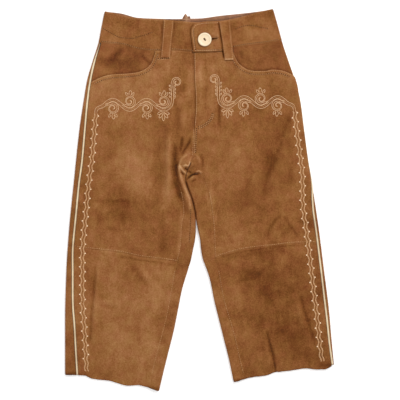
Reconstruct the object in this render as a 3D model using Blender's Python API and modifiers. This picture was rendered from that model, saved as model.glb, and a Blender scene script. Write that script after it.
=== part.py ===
"""Lederhosen: a child's knee-length suede breeches in a jeans cut, lying flat with the front up.

The frame has +Z up off the surface, +Y towards the waist and +X towards the wearer's left.
Each leg is a flattened tube. A section runs from the inner edge across the top face, round the
outer fold, back along the flat underside and, below the crotch, round the inner fold and on to
the inseam. A place on it is its distance c from the outer fold's outermost line: negative on
the top face, positive below. Every cloth piece is a stretch of that tube, with Solidify.
Tables and sizes are in millimetres, and points become metres when a mesh is made.
"""

import math
from collections import namedtuple

import bmesh
import bpy

MM = 0.001

# Leather, in millimetres.
SUEDE_WALL = 1.4
BAND_WALL = 2.4
LOOP_WALL = 1.6
SEAM_GAP = 0.3
LAYER_GAP = 0.5

# Form of the flattened tube.
FOLD_RADIUS = 3.2
QUARTER = math.pi * FOLD_RADIUS / 2
HIP_HEIGHT = 5.6
LEG_HEIGHT = 3.7
HIP_LOWEST = 120
LEG_HIGHEST = 20
EDGE_FADE = 14
LEG_CLEARANCE = 0.4

# Levels along the body.
KNEE_NOMINAL = -96
WAIST_NOMINAL = 222
HEM_NOMINAL = -270
WRAP_BELOW = 48
UPPER_ROWS = (222, 212, 200, 187, 165, 140, 115, 92, 74, 63, 54, 43, 31.5, 18, 0, -22, -50, -74, -96)
LOWER_ROWS = (-96, -114, -134, -156, -178, -202, -226, -250, -270)

# Piping, pocket, fly and tab.
PIPING_WIDTH = 3.5
PIPING_CROWN = ((-1.55, -0.4), (-0.85, 0.45), (0.0, 0.75), (0.85, 0.45), (1.55, -0.4))
MOUTH_RAISE = SUEDE_WALL + LAYER_GAP
FACING_UNDERLAP = 7
FLY_UNDERLAP = 9
FLY_INSET = 4.5
FLY_SECOND_COLUMN = (-1.7, -0.5)
FLY_DROP = SUEDE_WALL + LAYER_GAP
FLY_LAP_LOWEST = 128
FLY_DROP_LOWEST = 104
TAB_RAISE = BAND_WALL + LAYER_GAP
TAB_RAMP = (28, 48)

PIPING_TOP = {"right": 234.6, "left": 237.8}
PIPING_WALL = 1.6

# Columns of the panels and bands.
CROTCH_EASE = 5
CENTRE_BACK_STEP = 3
LEAST_STEP = 0.25
BACK_COLUMNS = 16
BEFORE_MOUTH = (0, 0.38, 0.7)
NEAR_SIDE_SEAM = (0.975, 0.993)
MOUTH_ZONE = 0.3
RAISE_FADE = (30, 11)
LOWER_SHARES = (0, 0.06, 0.14, 0.24, 0.34, 0.44, 0.54, 0.64, 0.73, 0.81, 0.88, 0.94, 0.98, 1)
BAND_NOMINAL = 245
BAND_END_STEPS = (27, 20, 14, 8, 4, 0)
BAND_LEVELS = (1, 0.85, 0.5, 0.15, 0)
TAB_EDGE = ((221, -9.2), (252, -12.6))
BAND_COLUMNS_RIGHT = (27, 14, 2, -4, -9, -14, -26, -32, -38, -52, -68, -84, -100, -116, -131)
BAND_COLUMNS_LEFT = (-9, -4, 2, 14, 21, 28, 33, 38, 43, 48, 60, 72, 84, 96)
LOOP_ROWS = (0, 0.15, 0.4, 0.6, 0.78, 0.84, 0.9, 1)

# Centre-back belt loop under the garment, and how far it lifts what lies on it.
BACK_LOOP_X = -19.5
BACK_LOOP_WIDTH = 12
BACK_LOOP_FOOT = 214
BACK_LOOP_TIP = ((-1, 273.5), (-0.2, 279.5), (0.35, 275.5), (0.75, 276.2), (1, 272))
BACK_LOOP_LIFT = LOOP_WALL + SEAM_GAP
LIFT_HALF_WIDTH = 7.5
LIFT_FADE = 12
LIFT_LOWEST = (201, 211.5)

# Button.
BUTTON_X = 7.8
BUTTON_Y = 240
BUTTON_RADIUS = 10.2
BUTTON_THICKNESS = 3.6
BUTTON_HOLE_RADIUS = 0.9
BUTTON_HOLE_SPREAD = 1.55
BUTTON_HOLE_ANGLE = math.radians(-52)
BUTTONHOLE_SPAN = (7, 25)
BUTTONHOLE_WIDTH = 1.2
BUTTONHOLE_RISE = 2.5
BUTTON_SEAT = 0.2
BUTTON_STEPS = 28

# Outlines as (y, x). "outer" is the outermost line of a side's fold, "leg" the inner fold's.
OUTER_RIGHT = (
    (283, -142.5), (258, -147.5), (237, -151.5), (210, -159.8), (180, -168.5), (150, -173.7),
    (105, -180.3), (30, -188.3), (-45, -195.8), (-105, -199.8), (-180, -201.75), (-265, -201.75),
)
OUTER_LEFT = (
    (286.5, 110.5), (262, 117.5), (240, 123.5), (210, 132.8), (180, 143), (150, 150.8),
    (105, 156.8), (60, 162.8), (15, 170.3), (-45, 179.3), (-105, 186.8), (-165, 194.3),
    (-210, 198.2), (-247, 201.75), (-260, 203),
)
CENTRE_BACK = ((290, -19.5), (120, -16), (74, -12), (63, -12), (54, -14.2), (43, -18.5))
CROTCH_LINE = ((54, -14.2), (43, -18.5), (31.5, -21), (18, -18), (0, -11.2), (-12, -8.2), (-28, -5.6))
LEG_RIGHT = CROTCH_LINE + (
    (-45, -5.4), (-60, -6.8), (-75, -9.8), (-90, -12.8), (-105, -17.3), (-135, -26.3),
    (-165, -32.3), (-195, -38.3), (-225, -45.8), (-255, -53.3), (-287, -60.8),
)
LEG_LEFT = CROTCH_LINE + (
    (-45, -2.3), (-60, 0.8), (-75, 2.3), (-90, 5.3), (-105, 11), (-120, 15.8), (-150, 21.8),
    (-180, 29.3), (-210, 36.8), (-240, 44.3), (-273, 51.2),
)

# A front panel's inner edge as (y, x): the centre-front seam, then the inseam.
EDGE_RIGHT = (
    (222, -7.8), (186, -7.2), (145, -5.1), (111, -7.2), (66, -9.2), (54, -14.5), (43, -24),
    (31.5, -31), (18, -27.5), (0, -23.2), (-18, -22), (-35, -25), (-70, -27.6), (-99, -34),
    (-132, -40), (-174, -47.7), (-246, -66.5), (-287, -76),
)
EDGE_LEFT = (
    (222, -7.8), (186, -7.2), (145, -5.1), (111, -7.2), (66, -9.2), (54, -11.5), (43, -12.5),
    (39, 2.2), (22.5, 9.8), (5, 15), (-22, 18.9), (-49, 21.3), (-79, 22.5), (-104, 27),
    (-150, 35.5), (-180, 44.5), (-207, 52), (-238, 59), (-275, 68),
)

# The side seam's middle as (y, distance along the section above the outer fold's outermost line).
SEAM_RIGHT = (
    (237, 4.6), (210, 5), (180, 6.9), (150, 7.8), (105, 10.2), (60, 11.2), (22, 10), (-22, 10.4),
    (-67, 9.8), (-105, 11.6), (-157, 13.6), (-187, 16), (-225, 18), (-265, 20.4),
)
SEAM_LEFT = (
    (238, -1.5), (70, -1.5), (45, -1), (20, 2.2), (0, 5.2), (-21, 6.6), (-45, 6.5), (-105, 6.5),
    (-150, 7), (-190, 6.2), (-213, 5.8), (-237, 4.8), (-250, 4.2),
)

# Seams and edges that run across, as (x, y).
WAIST_SEAM = (
    (-152, 236), (-116, 232.5), (-88, 225), (-67, 223.4), (-42, 224.3), (-9, 222), (34, 223.2),
    (51, 228), (73, 232), (98, 235), (124, 239.3),
)
BACK_WAIST_RIGHT = (-152, 236)
BACK_WAIST_LEFT = (124, 239.3)
BACK_WAIST_Y = 224
FRONT_TOP = (
    (-142, 283), (-108, 275.3), (-92, 272.3), (-52, 270.3), (-29, 268.1), (-7, 266.3),
    (28, 267.9), (54, 272.4), (86, 281.1), (110, 286.5),
)
BACK_TOP = (
    (-142, 283), (-119, 280.5), (-92, 273.8), (-59, 272.3), (-29, 271.8), (1, 272.9),
    (31, 276.8), (61, 279.9), (86, 282.8), (110, 286.5),
)
TAB_TOP = ((-12.6, 252), (-11.5, 257), (-8, 262), (-2, 265.3), (5, 267), (28, 267.9))
KNEE_SEAM = (
    (-198, -69.5), (-167, -73.5), (-118, -79), (-88, -85.5), (-59, -89), (-35, -92.7), (-12, -100),
    (8, -95), (23, -87), (32, -83.7), (58, -75.8), (89, -71), (113, -68.7), (137, -65.6), (182, -64),
)
HEM = (
    (-201.7, -262), (-172, -263.6), (-161, -268.2), (-135, -271.5), (-107, -278.6), (-92, -277.8),
    (-75, -282.2), (-61, -286.5), (52, -273), (74, -267), (102, -262.8), (112, -259), (137, -256),
    (159, -252.6), (178, -254.4), (188, -253.8), (201.7, -246.8),
)

# A front panel's top edge as (share of the way from centre front to side seam, y).
# It is the waist seam up to the pocket's start, and the pocket mouth from there.
MOUTH_RIGHT = (
    (0.388, 223.5), (0.40, 214.5), (0.415, 206.5), (0.45, 198.7), (0.51, 193.3), (0.58, 190.6),
    (0.70, 189.1), (0.80, 188), (0.88, 185.4), (0.95, 181), (1.0, 176.7),
)
MOUTH_LEFT = (
    (0.42, 222.5), (0.435, 214), (0.46, 205.5), (0.51, 198.2), (0.55, 195), (0.62, 193.3),
    (0.71, 193.3), (0.80, 195.4), (0.88, 194.2), (0.965, 189), (0.991, 185.5), (1.0, 184),
)

# The largest folds of the top face.
Fold = namedtuple("Fold", "x0 y0 x1 y1 height half_width")
FOLDS = (
    Fold(-46, 120, -45, 10, 3.4, 7),
    Fold(-31, 42, -12, -22, 2.6, 4.5),
    Fold(-22, 62, -16, 46, 4.2, 9),
    Fold(-150, -105, -157, -220, 2.2, 6),
    Fold(-98, -108, -78, -122, 1.2, 6),
    Fold(139, 118, 104, 5, 3.2, 9),
    Fold(124, -22, 150, -52, 1.6, 6),
    Fold(147, -152, 168, -214, 2.4, 7),
    Fold(103, -200, 120, -258, 1.5, 6),
    Fold(4, 66, 12, 22, 2.2, 7),
)

Side = namedtuple("Side", "name sign outer leg edge seam mouth")
RIGHT = Side("right", -1, OUTER_RIGHT, LEG_RIGHT, EDGE_RIGHT, SEAM_RIGHT, MOUTH_RIGHT)
LEFT = Side("left", 1, OUTER_LEFT, LEG_LEFT, EDGE_LEFT, SEAM_LEFT, MOUTH_LEFT)

# The two front belt loops, as the corners of each.
Loop = namedtuple("Loop", "side top_left top_right foot_left foot_right")
LOOPS = (
    Loop(RIGHT, (-53.5, 270), (-38.3, 269), (-57.9, 213), (-44.2, 213)),
    Loop(LEFT, (29.1, 266.5), (46, 270.2), (37.8, 208.9), (51.2, 209.4)),
)

Finish = namedtuple("Finish", "colour roughness")
SUEDE = Finish((0.29, 0.125, 0.04, 1), 0.95)
SUEDE_DARK = Finish((0.22, 0.085, 0.027, 1), 0.95)
CREAM = Finish((0.78, 0.62, 0.40, 1), 0.6)
HORN = Finish((0.87, 0.76, 0.55, 1), 0.35)


# ---- curves ----

def clamp01(value):
    return min(1.0, max(0.0, value))


def ease(start, end, value):
    """0 at start, 1 at end and smooth between, whichever of the two is larger."""
    t = clamp01((value - start) / (end - start))
    return t * t * (3 - 2 * t)


def lerp(a, b, t):
    return a + (b - a) * t


def curve(table, at):
    """A smooth line through the table's rows that never overshoots between two of them."""
    rows = sorted(table)
    if at <= rows[0][0]:
        return rows[0][1]
    if at >= rows[-1][0]:
        return rows[-1][1]
    i = max(k for k in range(len(rows) - 1) if rows[k][0] <= at)
    rises = [(b[1] - a[1]) / (b[0] - a[0]) for a, b in zip(rows, rows[1:])]

    def tangent(k):
        if k == 0 or k == len(rows) - 1:
            return rises[min(k, len(rises) - 1)]
        before, after = rises[k - 1], rises[k]
        return 2 * before * after / (before + after) if before * after > 0 else 0.0

    width = rows[i + 1][0] - rows[i][0]
    t = (at - rows[i][0]) / width
    return (
        (2 * t**3 - 3 * t**2 + 1) * rows[i][1]
        + (t**3 - 2 * t**2 + t) * width * tangent(i)
        + (3 * t**2 - 2 * t**3) * rows[i + 1][1]
        + (t**3 - t**2) * width * tangent(i + 1)
    )


# ---- the flattened tube ----

def lift(x, y):
    """How far the centre-back belt loop lifts everything that lies on it."""
    beside = abs(x - BACK_LOOP_X) - LIFT_HALF_WIDTH
    return BACK_LOOP_LIFT * ease(LIFT_FADE, 0, beside) * ease(*LIFT_LOWEST, y)


def leg_x(side, y):
    return curve(side.leg, y) + side.sign * LEG_CLEARANCE


def fold_height(fold, x, y):
    along_x, along_y = fold.x1 - fold.x0, fold.y1 - fold.y0
    length = math.hypot(along_x, along_y)
    t = ((x - fold.x0) * along_x + (y - fold.y0) * along_y) / length**2
    off = abs((x - fold.x0) * along_y - (y - fold.y0) * along_x) / length
    taper = ease(-0.2, 0.25, t) * ease(1.2, 0.75, t)
    return fold.height * taper * math.exp(-((off / fold.half_width) ** 2))


def crown(side, x, y):
    """The height of the top face's outer surface."""
    resting = lerp(LEG_HEIGHT, HIP_HEIGHT, ease(LEG_HIGHEST, HIP_LOWEST, y))
    edge = 2 * FOLD_RADIUS - resting
    from_outer = side.sign * (curve(side.outer, y) - x) - FOLD_RADIUS
    height = resting + edge * math.exp(-((from_outer / EDGE_FADE) ** 2))
    folds = sum(fold_height(fold, x, y) for fold in FOLDS) * ease(0, 12, from_outer)
    below_crotch = ease(58, 44, y)
    if below_crotch > 0:
        from_inner = side.sign * (x - leg_x(side, y)) - FOLD_RADIUS
        height += below_crotch * edge * math.exp(-((from_inner / EDGE_FADE) ** 2))
        folds *= lerp(1, ease(0, 5, from_inner), below_crotch)
    return height + folds + lift(x, y)


def place_of(side, x, y):
    """The section distance c of a point at x on the top face."""
    return -(side.sign * (curve(side.outer, y) - x) - FOLD_RADIUS + QUARTER)


def tube_point(side, y, c, out=0.0, wrapped=False):
    """The point at distance c on the section at y, moved out from the surface by out."""
    outer = curve(side.outer, y)
    turn = FOLD_RADIUS + out
    if c < -QUARTER:
        x = outer - side.sign * (FOLD_RADIUS - c - QUARTER)
        return x, y, crown(side, x, y) + out
    if c <= QUARTER:
        angle = c / FOLD_RADIUS
        x = outer - side.sign * (FOLD_RADIUS - turn * math.cos(angle))
        return x, y, FOLD_RADIUS - turn * math.sin(angle)
    inner = leg_x(side, y) + side.sign * FOLD_RADIUS
    flat = side.sign * (outer - inner) - FOLD_RADIUS
    if not wrapped or c - QUARTER <= flat:
        x = outer - side.sign * (FOLD_RADIUS + c - QUARTER)
        return x, y, lift(x, y) - out
    angle = (c - QUARTER - flat) / FOLD_RADIUS
    if angle <= math.pi:
        return inner - side.sign * turn * math.sin(angle), y, FOLD_RADIUS - turn * math.cos(angle)
    x = inner + side.sign * (angle - math.pi) * FOLD_RADIUS
    return x, y, crown(side, x, y) + out


# ---- columns of the panels, as distances c ----

def seam_place(side, y):
    return -curve(side.seam, y)


def front_edge_place(side, y):
    return place_of(side, curve(side.edge, y) + side.sign * SEAM_GAP / 2, y)


def front_side_place(side, y):
    return seam_place(side, y) - PIPING_WIDTH / 2 - SEAM_GAP


def back_places(side, y, wrapped):
    """From the side seam round the outer fold and under, to centre back or round to the inseam."""
    first = seam_place(side, y) + PIPING_WIDTH / 2 + SEAM_GAP
    fold = [(first - QUARTER) / 2, -QUARTER, -QUARTER / 2, 0, QUARTER / 2]
    places = [first] + [max(c, first + LEAST_STEP * (i + 1)) for i, c in enumerate(fold)] + [QUARTER]
    outer = curve(side.outer, y)
    if wrapped:
        inner = leg_x(side, y) + side.sign * FOLD_RADIUS
        flat_end = QUARTER + side.sign * (outer - inner) - FOLD_RADIUS
        strip = side.sign * (curve(side.edge, y) - inner) - SEAM_GAP / 2
        strip -= CROTCH_EASE * ease(WRAP_BELOW - 40, WRAP_BELOW, y)
        end = flat_end + math.pi * FOLD_RADIUS + strip
        turned = min(flat_end + math.pi * FOLD_RADIUS, end - 1)
        last = [lerp(flat_end, turned, k / 4) for k in range(5)] + [(turned + end) / 2, end]
    else:
        end = QUARTER + side.sign * (outer - curve(CENTRE_BACK, y)) - FOLD_RADIUS - SEAM_GAP / 2
        last = [end - CENTRE_BACK_STEP * k for k in range(6, -1, -1)]
    places += [lerp(QUARTER, last[0], share) for share in (1 / 3, 2 / 3)]
    return places + last


# ---- meshes ----

def new_object(name, mesh, finish, collection):
    material = bpy.data.materials.new(name)
    material.use_nodes = True
    shader = material.node_tree.nodes["Principled BSDF"]
    shader.inputs["Base Color"].default_value = finish.colour
    shader.inputs["Roughness"].default_value = finish.roughness
    shader.inputs["Metallic"].default_value = 0.0
    material.diffuse_color = finish.colour
    mesh.materials.append(material)
    obj = bpy.data.objects.new(name, mesh)
    collection.objects.link(obj)
    return obj


def cloth(name, grid, wall, finish, collection, turned_over=False):
    """A cloth piece: one surface through a grid of points, with its wall on the inner side."""
    mesh = bpy.data.meshes.new(name)
    shape = bmesh.new()
    rows = [[shape.verts.new([v * MM for v in point]) for point in row] for row in grid]
    for upper, lower in zip(rows, rows[1:]):
        for j in range(len(upper) - 1):
            corners = [upper[j], upper[j + 1], lower[j + 1], lower[j]]
            shape.faces.new(corners[::-1] if turned_over else corners)
    shape.to_mesh(mesh)
    shape.free()
    mesh.shade_smooth()
    obj = new_object(name, mesh, finish, collection)
    solidify = obj.modifiers.new("Wall", "SOLIDIFY")
    solidify.thickness = wall * MM
    solidify.offset = -1
    return obj


def settled(side, y, down, place, top, bottom, wrapped=False):
    """The y at the share down between two crossing edges, in the column that place(y) gives."""
    for _ in range(4):
        x = tube_point(side, y, place(y), wrapped=wrapped)[0]
        y = lerp(top(x), bottom(x), down)
    return y


def above_waist(x):
    return curve(WAIST_SEAM, x) + SEAM_GAP / 2


def below_waist(x):
    return curve(WAIST_SEAM, x) - SEAM_GAP / 2


def back_waist(x):
    """The hidden waist seam of the back, straight from each outer fold to centre back."""
    outer = BACK_WAIST_RIGHT if x < BACK_LOOP_X else BACK_WAIST_LEFT
    return lerp(BACK_WAIST_Y, outer[1], (x - BACK_LOOP_X) / (outer[0] - BACK_LOOP_X))


def below_back_waist(x):
    return back_waist(x) - SEAM_GAP / 2


def below_waist_tucked(x):
    return below_waist(x) - SEAM_GAP


def above_knee(x):
    return curve(KNEE_SEAM, x) + SEAM_GAP / 2


def below_knee(x):
    return curve(KNEE_SEAM, x) - SEAM_GAP / 2


def at_hem(x):
    return curve(HEM, x)


# ---- panels ----

def front_place(side, y, share):
    """The column at a share of the way from a front panel's inner edge to its side seam."""
    inner = front_edge_place(side, y) + (FLY_INSET if side is RIGHT and y > KNEE_NOMINAL else 0)
    return lerp(inner, front_side_place(side, y), share)


def front_shares(side, down):
    """Columns of a front as shares of its width: the pocket mouth's at the top, even below."""
    mouth = [share for share, _ in side.mouth]
    top = [mouth[0] * share for share in BEFORE_MOUTH] + mouth
    count = len(top) - len(NEAR_SIDE_SEAM)
    even = sorted([k / (count - 1) for k in range(count)] + list(NEAR_SIDE_SEAM))
    return [lerp(a, b, ease(0, MOUTH_ZONE, down)) for a, b in zip(top, even)]


def mouth_raise(side, share, below_top):
    """How far a front is raised by the pocket facing that lies beneath its mouth."""
    start = side.mouth[0][0]
    return MOUTH_RAISE * ease(start * BEFORE_MOUTH[-1], start, share) * ease(*RAISE_FADE, below_top)


def fly_columns(y):
    """The right front's two innermost columns: (x beyond centre front, drop under the left front)."""
    lap = 1 if y > FLY_LAP_LOWEST else 0
    drop = -FLY_DROP if y > FLY_DROP_LOWEST else 0
    return ((FLY_UNDERLAP * lap, drop), (FLY_SECOND_COLUMN[lap], drop))


def front_upper(side, collection):
    grid = []
    tops = front_shares(side, 0)
    for nominal in UPPER_ROWS:
        down = (WAIST_NOMINAL - nominal) / (WAIST_NOMINAL - KNEE_NOMINAL)
        row = []
        for beyond, drop in fly_columns(nominal) if side is RIGHT else ():
            def place(y):
                return place_of(side, curve(side.edge, y) - SEAM_GAP / 2 + beyond, y)

            y = settled(side, nominal, down, place, below_waist, above_knee)
            row.append(tube_point(side, y, place(y), drop))
        for share, top_share in zip(front_shares(side, down), tops):
            def place(y):
                return front_place(side, y, share)

            def top(x):
                open_edge = top_share >= side.mouth[0][0]
                return curve(side.mouth, top_share) if open_edge else below_waist(x)

            y = settled(side, nominal, down, place, top, above_knee)
            x = tube_point(side, y, place(y))[0]
            row.append(tube_point(side, y, place(y), mouth_raise(side, top_share, top(x) - y)))
        grid.append(row)
    return cloth(f"front_upper_{side.name}", grid, SUEDE_WALL, SUEDE, collection, side is LEFT)


def front_lower(side, collection):
    grid = []
    for nominal in LOWER_ROWS:
        down = (KNEE_NOMINAL - nominal) / (KNEE_NOMINAL - HEM_NOMINAL)
        row = []
        for share in LOWER_SHARES:
            def place(y):
                return lerp(front_edge_place(side, y), front_side_place(side, y), share)

            y = settled(side, nominal, down, place, below_knee, at_hem)
            row.append(tube_point(side, y, place(y)))
        grid.append(row)
    return cloth(f"front_lower_{side.name}", grid, SUEDE_WALL, SUEDE, collection, side is LEFT)


def back(side, name, rows, top, bottom, collection):
    grid = []
    for nominal in rows:
        down = (rows[0] - nominal) / (rows[0] - rows[-1])
        wrapped = nominal < WRAP_BELOW
        row = []
        for k in range(BACK_COLUMNS):
            def place(y):
                return back_places(side, y, wrapped)[k]

            y = settled(side, nominal, down, place, top, bottom, wrapped)
            row.append(tube_point(side, y, place(y), 0, wrapped))
        grid.append(row)
    return cloth(f"{name}_{side.name}", grid, SUEDE_WALL, SUEDE, collection, side is LEFT)


def pocket_facing(side, collection):
    grid = []
    for down in (0, 0.5, 1):
        row = []
        for share, mouth in side.mouth[1:]:
            def place(y):
                return front_place(side, y, share)

            def bottom(_):
                return mouth - FACING_UNDERLAP

            y = settled(side, mouth, down, place, below_waist_tucked, bottom)
            row.append(tube_point(side, y, place(y)))
        grid.append(row)
    return cloth(f"pocket_facing_{side.name}", grid, SUEDE_WALL, SUEDE_DARK, collection, side is LEFT)


def piping(side, collection):
    grid = []
    top = PIPING_TOP[side.name]
    bottom = curve(HEM, curve(side.outer, HEM_NOMINAL))
    between = [y for y in UPPER_ROWS + LOWER_ROWS[1:] if bottom + 6 < y < top - 6]
    for y in [top] + between + [bottom]:
        centre = seam_place(side, y)
        grid.append([tube_point(side, y, centre + along, out) for along, out in PIPING_CROWN])
    return cloth(f"piping_{side.name}", grid, PIPING_WALL, CREAM, collection, side is LEFT)


# ---- waist ----

def band_raise(side, x):
    return TAB_RAISE * ease(TAB_RAMP[1], TAB_RAMP[0], x) if side is LEFT else 0


def band_place(side, y, k):
    """Column k of a waistband half, from its front end round the fold to centre back."""
    columns = BAND_COLUMNS_RIGHT if side is RIGHT else BAND_COLUMNS_LEFT
    if side is LEFT and k == 0:
        return place_of(side, curve(TAB_EDGE, y), y)
    if k < len(columns):
        return place_of(side, columns[k], y)
    end = QUARTER + side.sign * (curve(side.outer, y) - BACK_LOOP_X) - FOLD_RADIUS - SEAM_GAP / 2
    round_fold = [-QUARTER, -QUARTER / 2, 0, QUARTER / 2, QUARTER]
    under = [lerp(QUARTER, end, share) for share in (0.25, 0.5)]
    return (round_fold + under + [end - j for j in BAND_END_STEPS])[k - len(columns)]


def waistband(side, collection):
    columns = BAND_COLUMNS_RIGHT if side is RIGHT else BAND_COLUMNS_LEFT
    grid = []
    for up in BAND_LEVELS:
        row = []
        for k in range(len(columns) + 7 + len(BAND_END_STEPS)):
            def place(y):
                return band_place(side, y, k)

            def top(x):
                if place(BAND_NOMINAL) > 0:
                    return curve(BACK_TOP, x)
                return curve(TAB_TOP if side is LEFT and x < TAB_TOP[-1][0] else FRONT_TOP, x)

            def bottom(x):
                under = place(BAND_NOMINAL) > 0
                return back_waist(x) + SEAM_GAP / 2 if under else above_waist(x)

            y = settled(side, BAND_NOMINAL, up, place, bottom, top)
            x = tube_point(side, y, place(y))[0]
            raised = band_raise(side, x) if place(y) < -QUARTER else 0
            row.append(tube_point(side, y, place(y), raised))
        grid.append(row)
    return cloth(f"waistband_{side.name}", grid, BAND_WALL, SUEDE, collection, side is LEFT)


def belt_loop(loop, collection):
    grid = []
    for down in LOOP_ROWS:
        row = []
        for share in (0, 0.5, 1):
            top = [lerp(a, b, share) for a, b in zip(loop.top_left, loop.top_right)]
            foot = [lerp(a, b, share) for a, b in zip(loop.foot_left, loop.foot_right)]
            x, y = lerp(top[0], foot[0], down), lerp(top[1], foot[1], down)
            above_seam = y - curve(WAIST_SEAM, x)
            on_band = ease(-8, -2, above_seam)
            edge, end = front_place(loop.side, y, 0), front_place(loop.side, y, 1)
            share = (place_of(loop.side, x, y) - edge) / (end - edge)
            on_front = mouth_raise(loop.side, share, -above_seam) * ease(6, 1, above_seam)
            under = crown(loop.side, x, y) + max(band_raise(loop.side, x) * on_band, on_front)
            row.append((x, y, under + LAYER_GAP + LOOP_WALL))
        grid.append(row)
    return cloth(f"belt_loop_{loop.side.name}", grid, LOOP_WALL, SUEDE, collection, True)


def back_belt_loop(collection):
    half = BACK_LOOP_WIDTH / 2
    grid = []
    for down in (0, 0.12, 1):
        row = []
        for share, tip in BACK_LOOP_TIP:
            row.append((BACK_LOOP_X + share * half, lerp(tip, BACK_LOOP_FOOT, down), LOOP_WALL))
        grid.append(row)
    return cloth("belt_loop_back", grid, LOOP_WALL, SUEDE, collection, True)


def cutter(name, collection, centre, turn, make):
    """A hidden cutting solid that make(bmesh) builds about its own centre, in metres."""
    mesh = bpy.data.meshes.new(name)
    shape = bmesh.new()
    make(shape)
    shape.to_mesh(mesh)
    shape.free()
    obj = bpy.data.objects.new(name, mesh)
    obj.location = [v * MM for v in centre]
    obj.rotation_euler.z = turn
    obj.hide_render = True
    obj.display_type = "WIRE"
    collection.objects.link(obj)
    return obj


def cut(obj, tool):
    boolean = obj.modifiers.new(tool.name, "BOOLEAN")
    boolean.object = tool
    boolean.operation = "DIFFERENCE"
    boolean.solver = "EXACT"


def buttonhole(band, cutters):
    start, end = BUTTONHOLE_SPAN
    size = (end - start, BUTTONHOLE_WIDTH, BAND_WALL + LAYER_GAP)
    level = HIP_HEIGHT + TAB_RAISE - BAND_WALL / 2
    centre = ((start + end) / 2, BUTTON_Y + BUTTONHOLE_RISE / 2, level)

    def slit(shape):
        bmesh.ops.create_cube(shape, size=1)
        bmesh.ops.scale(shape, vec=[v * MM for v in size], verts=shape.verts)

    turn = math.atan2(BUTTONHOLE_RISE, end - start)
    cut(band, cutter("buttonhole_cutter", cutters, centre, turn, slit))


def button(collection, cutters):
    half = BUTTON_THICKNESS / 2
    profile = (
        (0, -half), (BUTTON_RADIUS - 2.2, -half), (BUTTON_RADIUS - 0.5, -0.5 * half),
        (BUTTON_RADIUS, 0.2 * half), (BUTTON_RADIUS - 0.7, half), (BUTTON_RADIUS - 2.0, 0.9 * half),
        (BUTTON_RADIUS - 3.2, 0.45 * half), (0, 0.35 * half),
    )
    mesh = bpy.data.meshes.new("button")
    shape = bmesh.new()
    verts = [shape.verts.new((r * MM, 0, z * MM)) for r, z in profile]
    for a, b in zip(verts, verts[1:]):
        shape.edges.new((a, b))
    shape.to_mesh(mesh)
    shape.free()
    obj = new_object("button", mesh, HORN, collection)
    level = HIP_HEIGHT + TAB_RAISE + SEAM_GAP + BUTTON_SEAT + half
    obj.location = (BUTTON_X * MM, BUTTON_Y * MM, level * MM)
    screw = obj.modifiers.new("Turn", "SCREW")
    screw.steps = BUTTON_STEPS
    screw.render_steps = BUTTON_STEPS
    screw.use_merge_vertices = True
    screw.merge_threshold = 0.00005

    def hole(shape):
        radius = BUTTON_HOLE_RADIUS * MM
        depth = 3 * BUTTON_THICKNESS * MM
        bmesh.ops.create_cone(
            shape, cap_ends=True, segments=10, radius1=radius, radius2=radius, depth=depth
        )

    for name, reach in (("a", -BUTTON_HOLE_SPREAD), ("b", BUTTON_HOLE_SPREAD)):
        x = BUTTON_X + reach * math.cos(BUTTON_HOLE_ANGLE)
        y = BUTTON_Y + reach * math.sin(BUTTON_HOLE_ANGLE)
        cut(obj, cutter(f"button_hole_cutter_{name}", cutters, (x, y, level), 0, hole))


def main():
    for obj in list(bpy.data.objects):
        bpy.data.objects.remove(obj)
    garment = bpy.data.collections.new("lederhosen")
    cutters = bpy.data.collections.new("cutters")
    for collection in (garment, cutters):
        bpy.context.scene.collection.children.link(collection)

    for side in (RIGHT, LEFT):
        front_upper(side, garment)
        front_lower(side, garment)
        back(side, "back_upper", UPPER_ROWS, below_back_waist, above_knee, garment)
        back(side, "back_lower", LOWER_ROWS, below_knee, at_hem, garment)
        pocket_facing(side, garment)
        piping(side, garment)
        band = waistband(side, garment)
        if side is LEFT:
            buttonhole(band, cutters)
    for loop in LOOPS:
        belt_loop(loop, garment)
    back_belt_loop(garment)
    button(garment, cutters)
    cutters.hide_render = True


main()
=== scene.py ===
"""Looks of the lederhosen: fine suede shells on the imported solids, sewing, embroidery and studio.

The frame is the model's own: +Z up off the surface, +Y towards the waist and +X towards the
wearer's left. Each leg is a flattened tube, and a place on its section is the distance c from
the outer fold's outermost line: negative on the top face, positive below.
Tables and sizes are in millimetres, and points become metres when a mesh is made.
"""

import math
from collections import namedtuple

import bpy
import numpy as np
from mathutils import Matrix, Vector
from mathutils.bvhtree import BVHTree


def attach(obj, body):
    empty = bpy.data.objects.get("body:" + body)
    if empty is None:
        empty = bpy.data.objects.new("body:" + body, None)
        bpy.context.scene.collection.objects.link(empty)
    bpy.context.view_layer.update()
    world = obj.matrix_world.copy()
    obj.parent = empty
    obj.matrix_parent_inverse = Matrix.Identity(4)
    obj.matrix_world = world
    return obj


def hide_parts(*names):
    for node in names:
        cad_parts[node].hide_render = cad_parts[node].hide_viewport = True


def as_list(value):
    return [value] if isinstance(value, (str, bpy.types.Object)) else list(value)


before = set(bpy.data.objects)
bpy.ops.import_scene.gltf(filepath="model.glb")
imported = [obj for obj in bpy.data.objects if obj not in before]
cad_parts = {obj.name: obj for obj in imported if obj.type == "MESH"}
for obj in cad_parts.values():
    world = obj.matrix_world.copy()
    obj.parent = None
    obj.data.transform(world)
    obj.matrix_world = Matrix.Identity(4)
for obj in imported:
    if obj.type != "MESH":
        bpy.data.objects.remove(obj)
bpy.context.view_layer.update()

MM = 0.001

# Leather.
SUEDE_WALL = 1.4
BAND_WALL = 2.4
LOOP_WALL = 1.6
PIPING_WALL = 1.6
SEAM_GAP = 0.05
LAYER_GAP = 0.5

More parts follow.
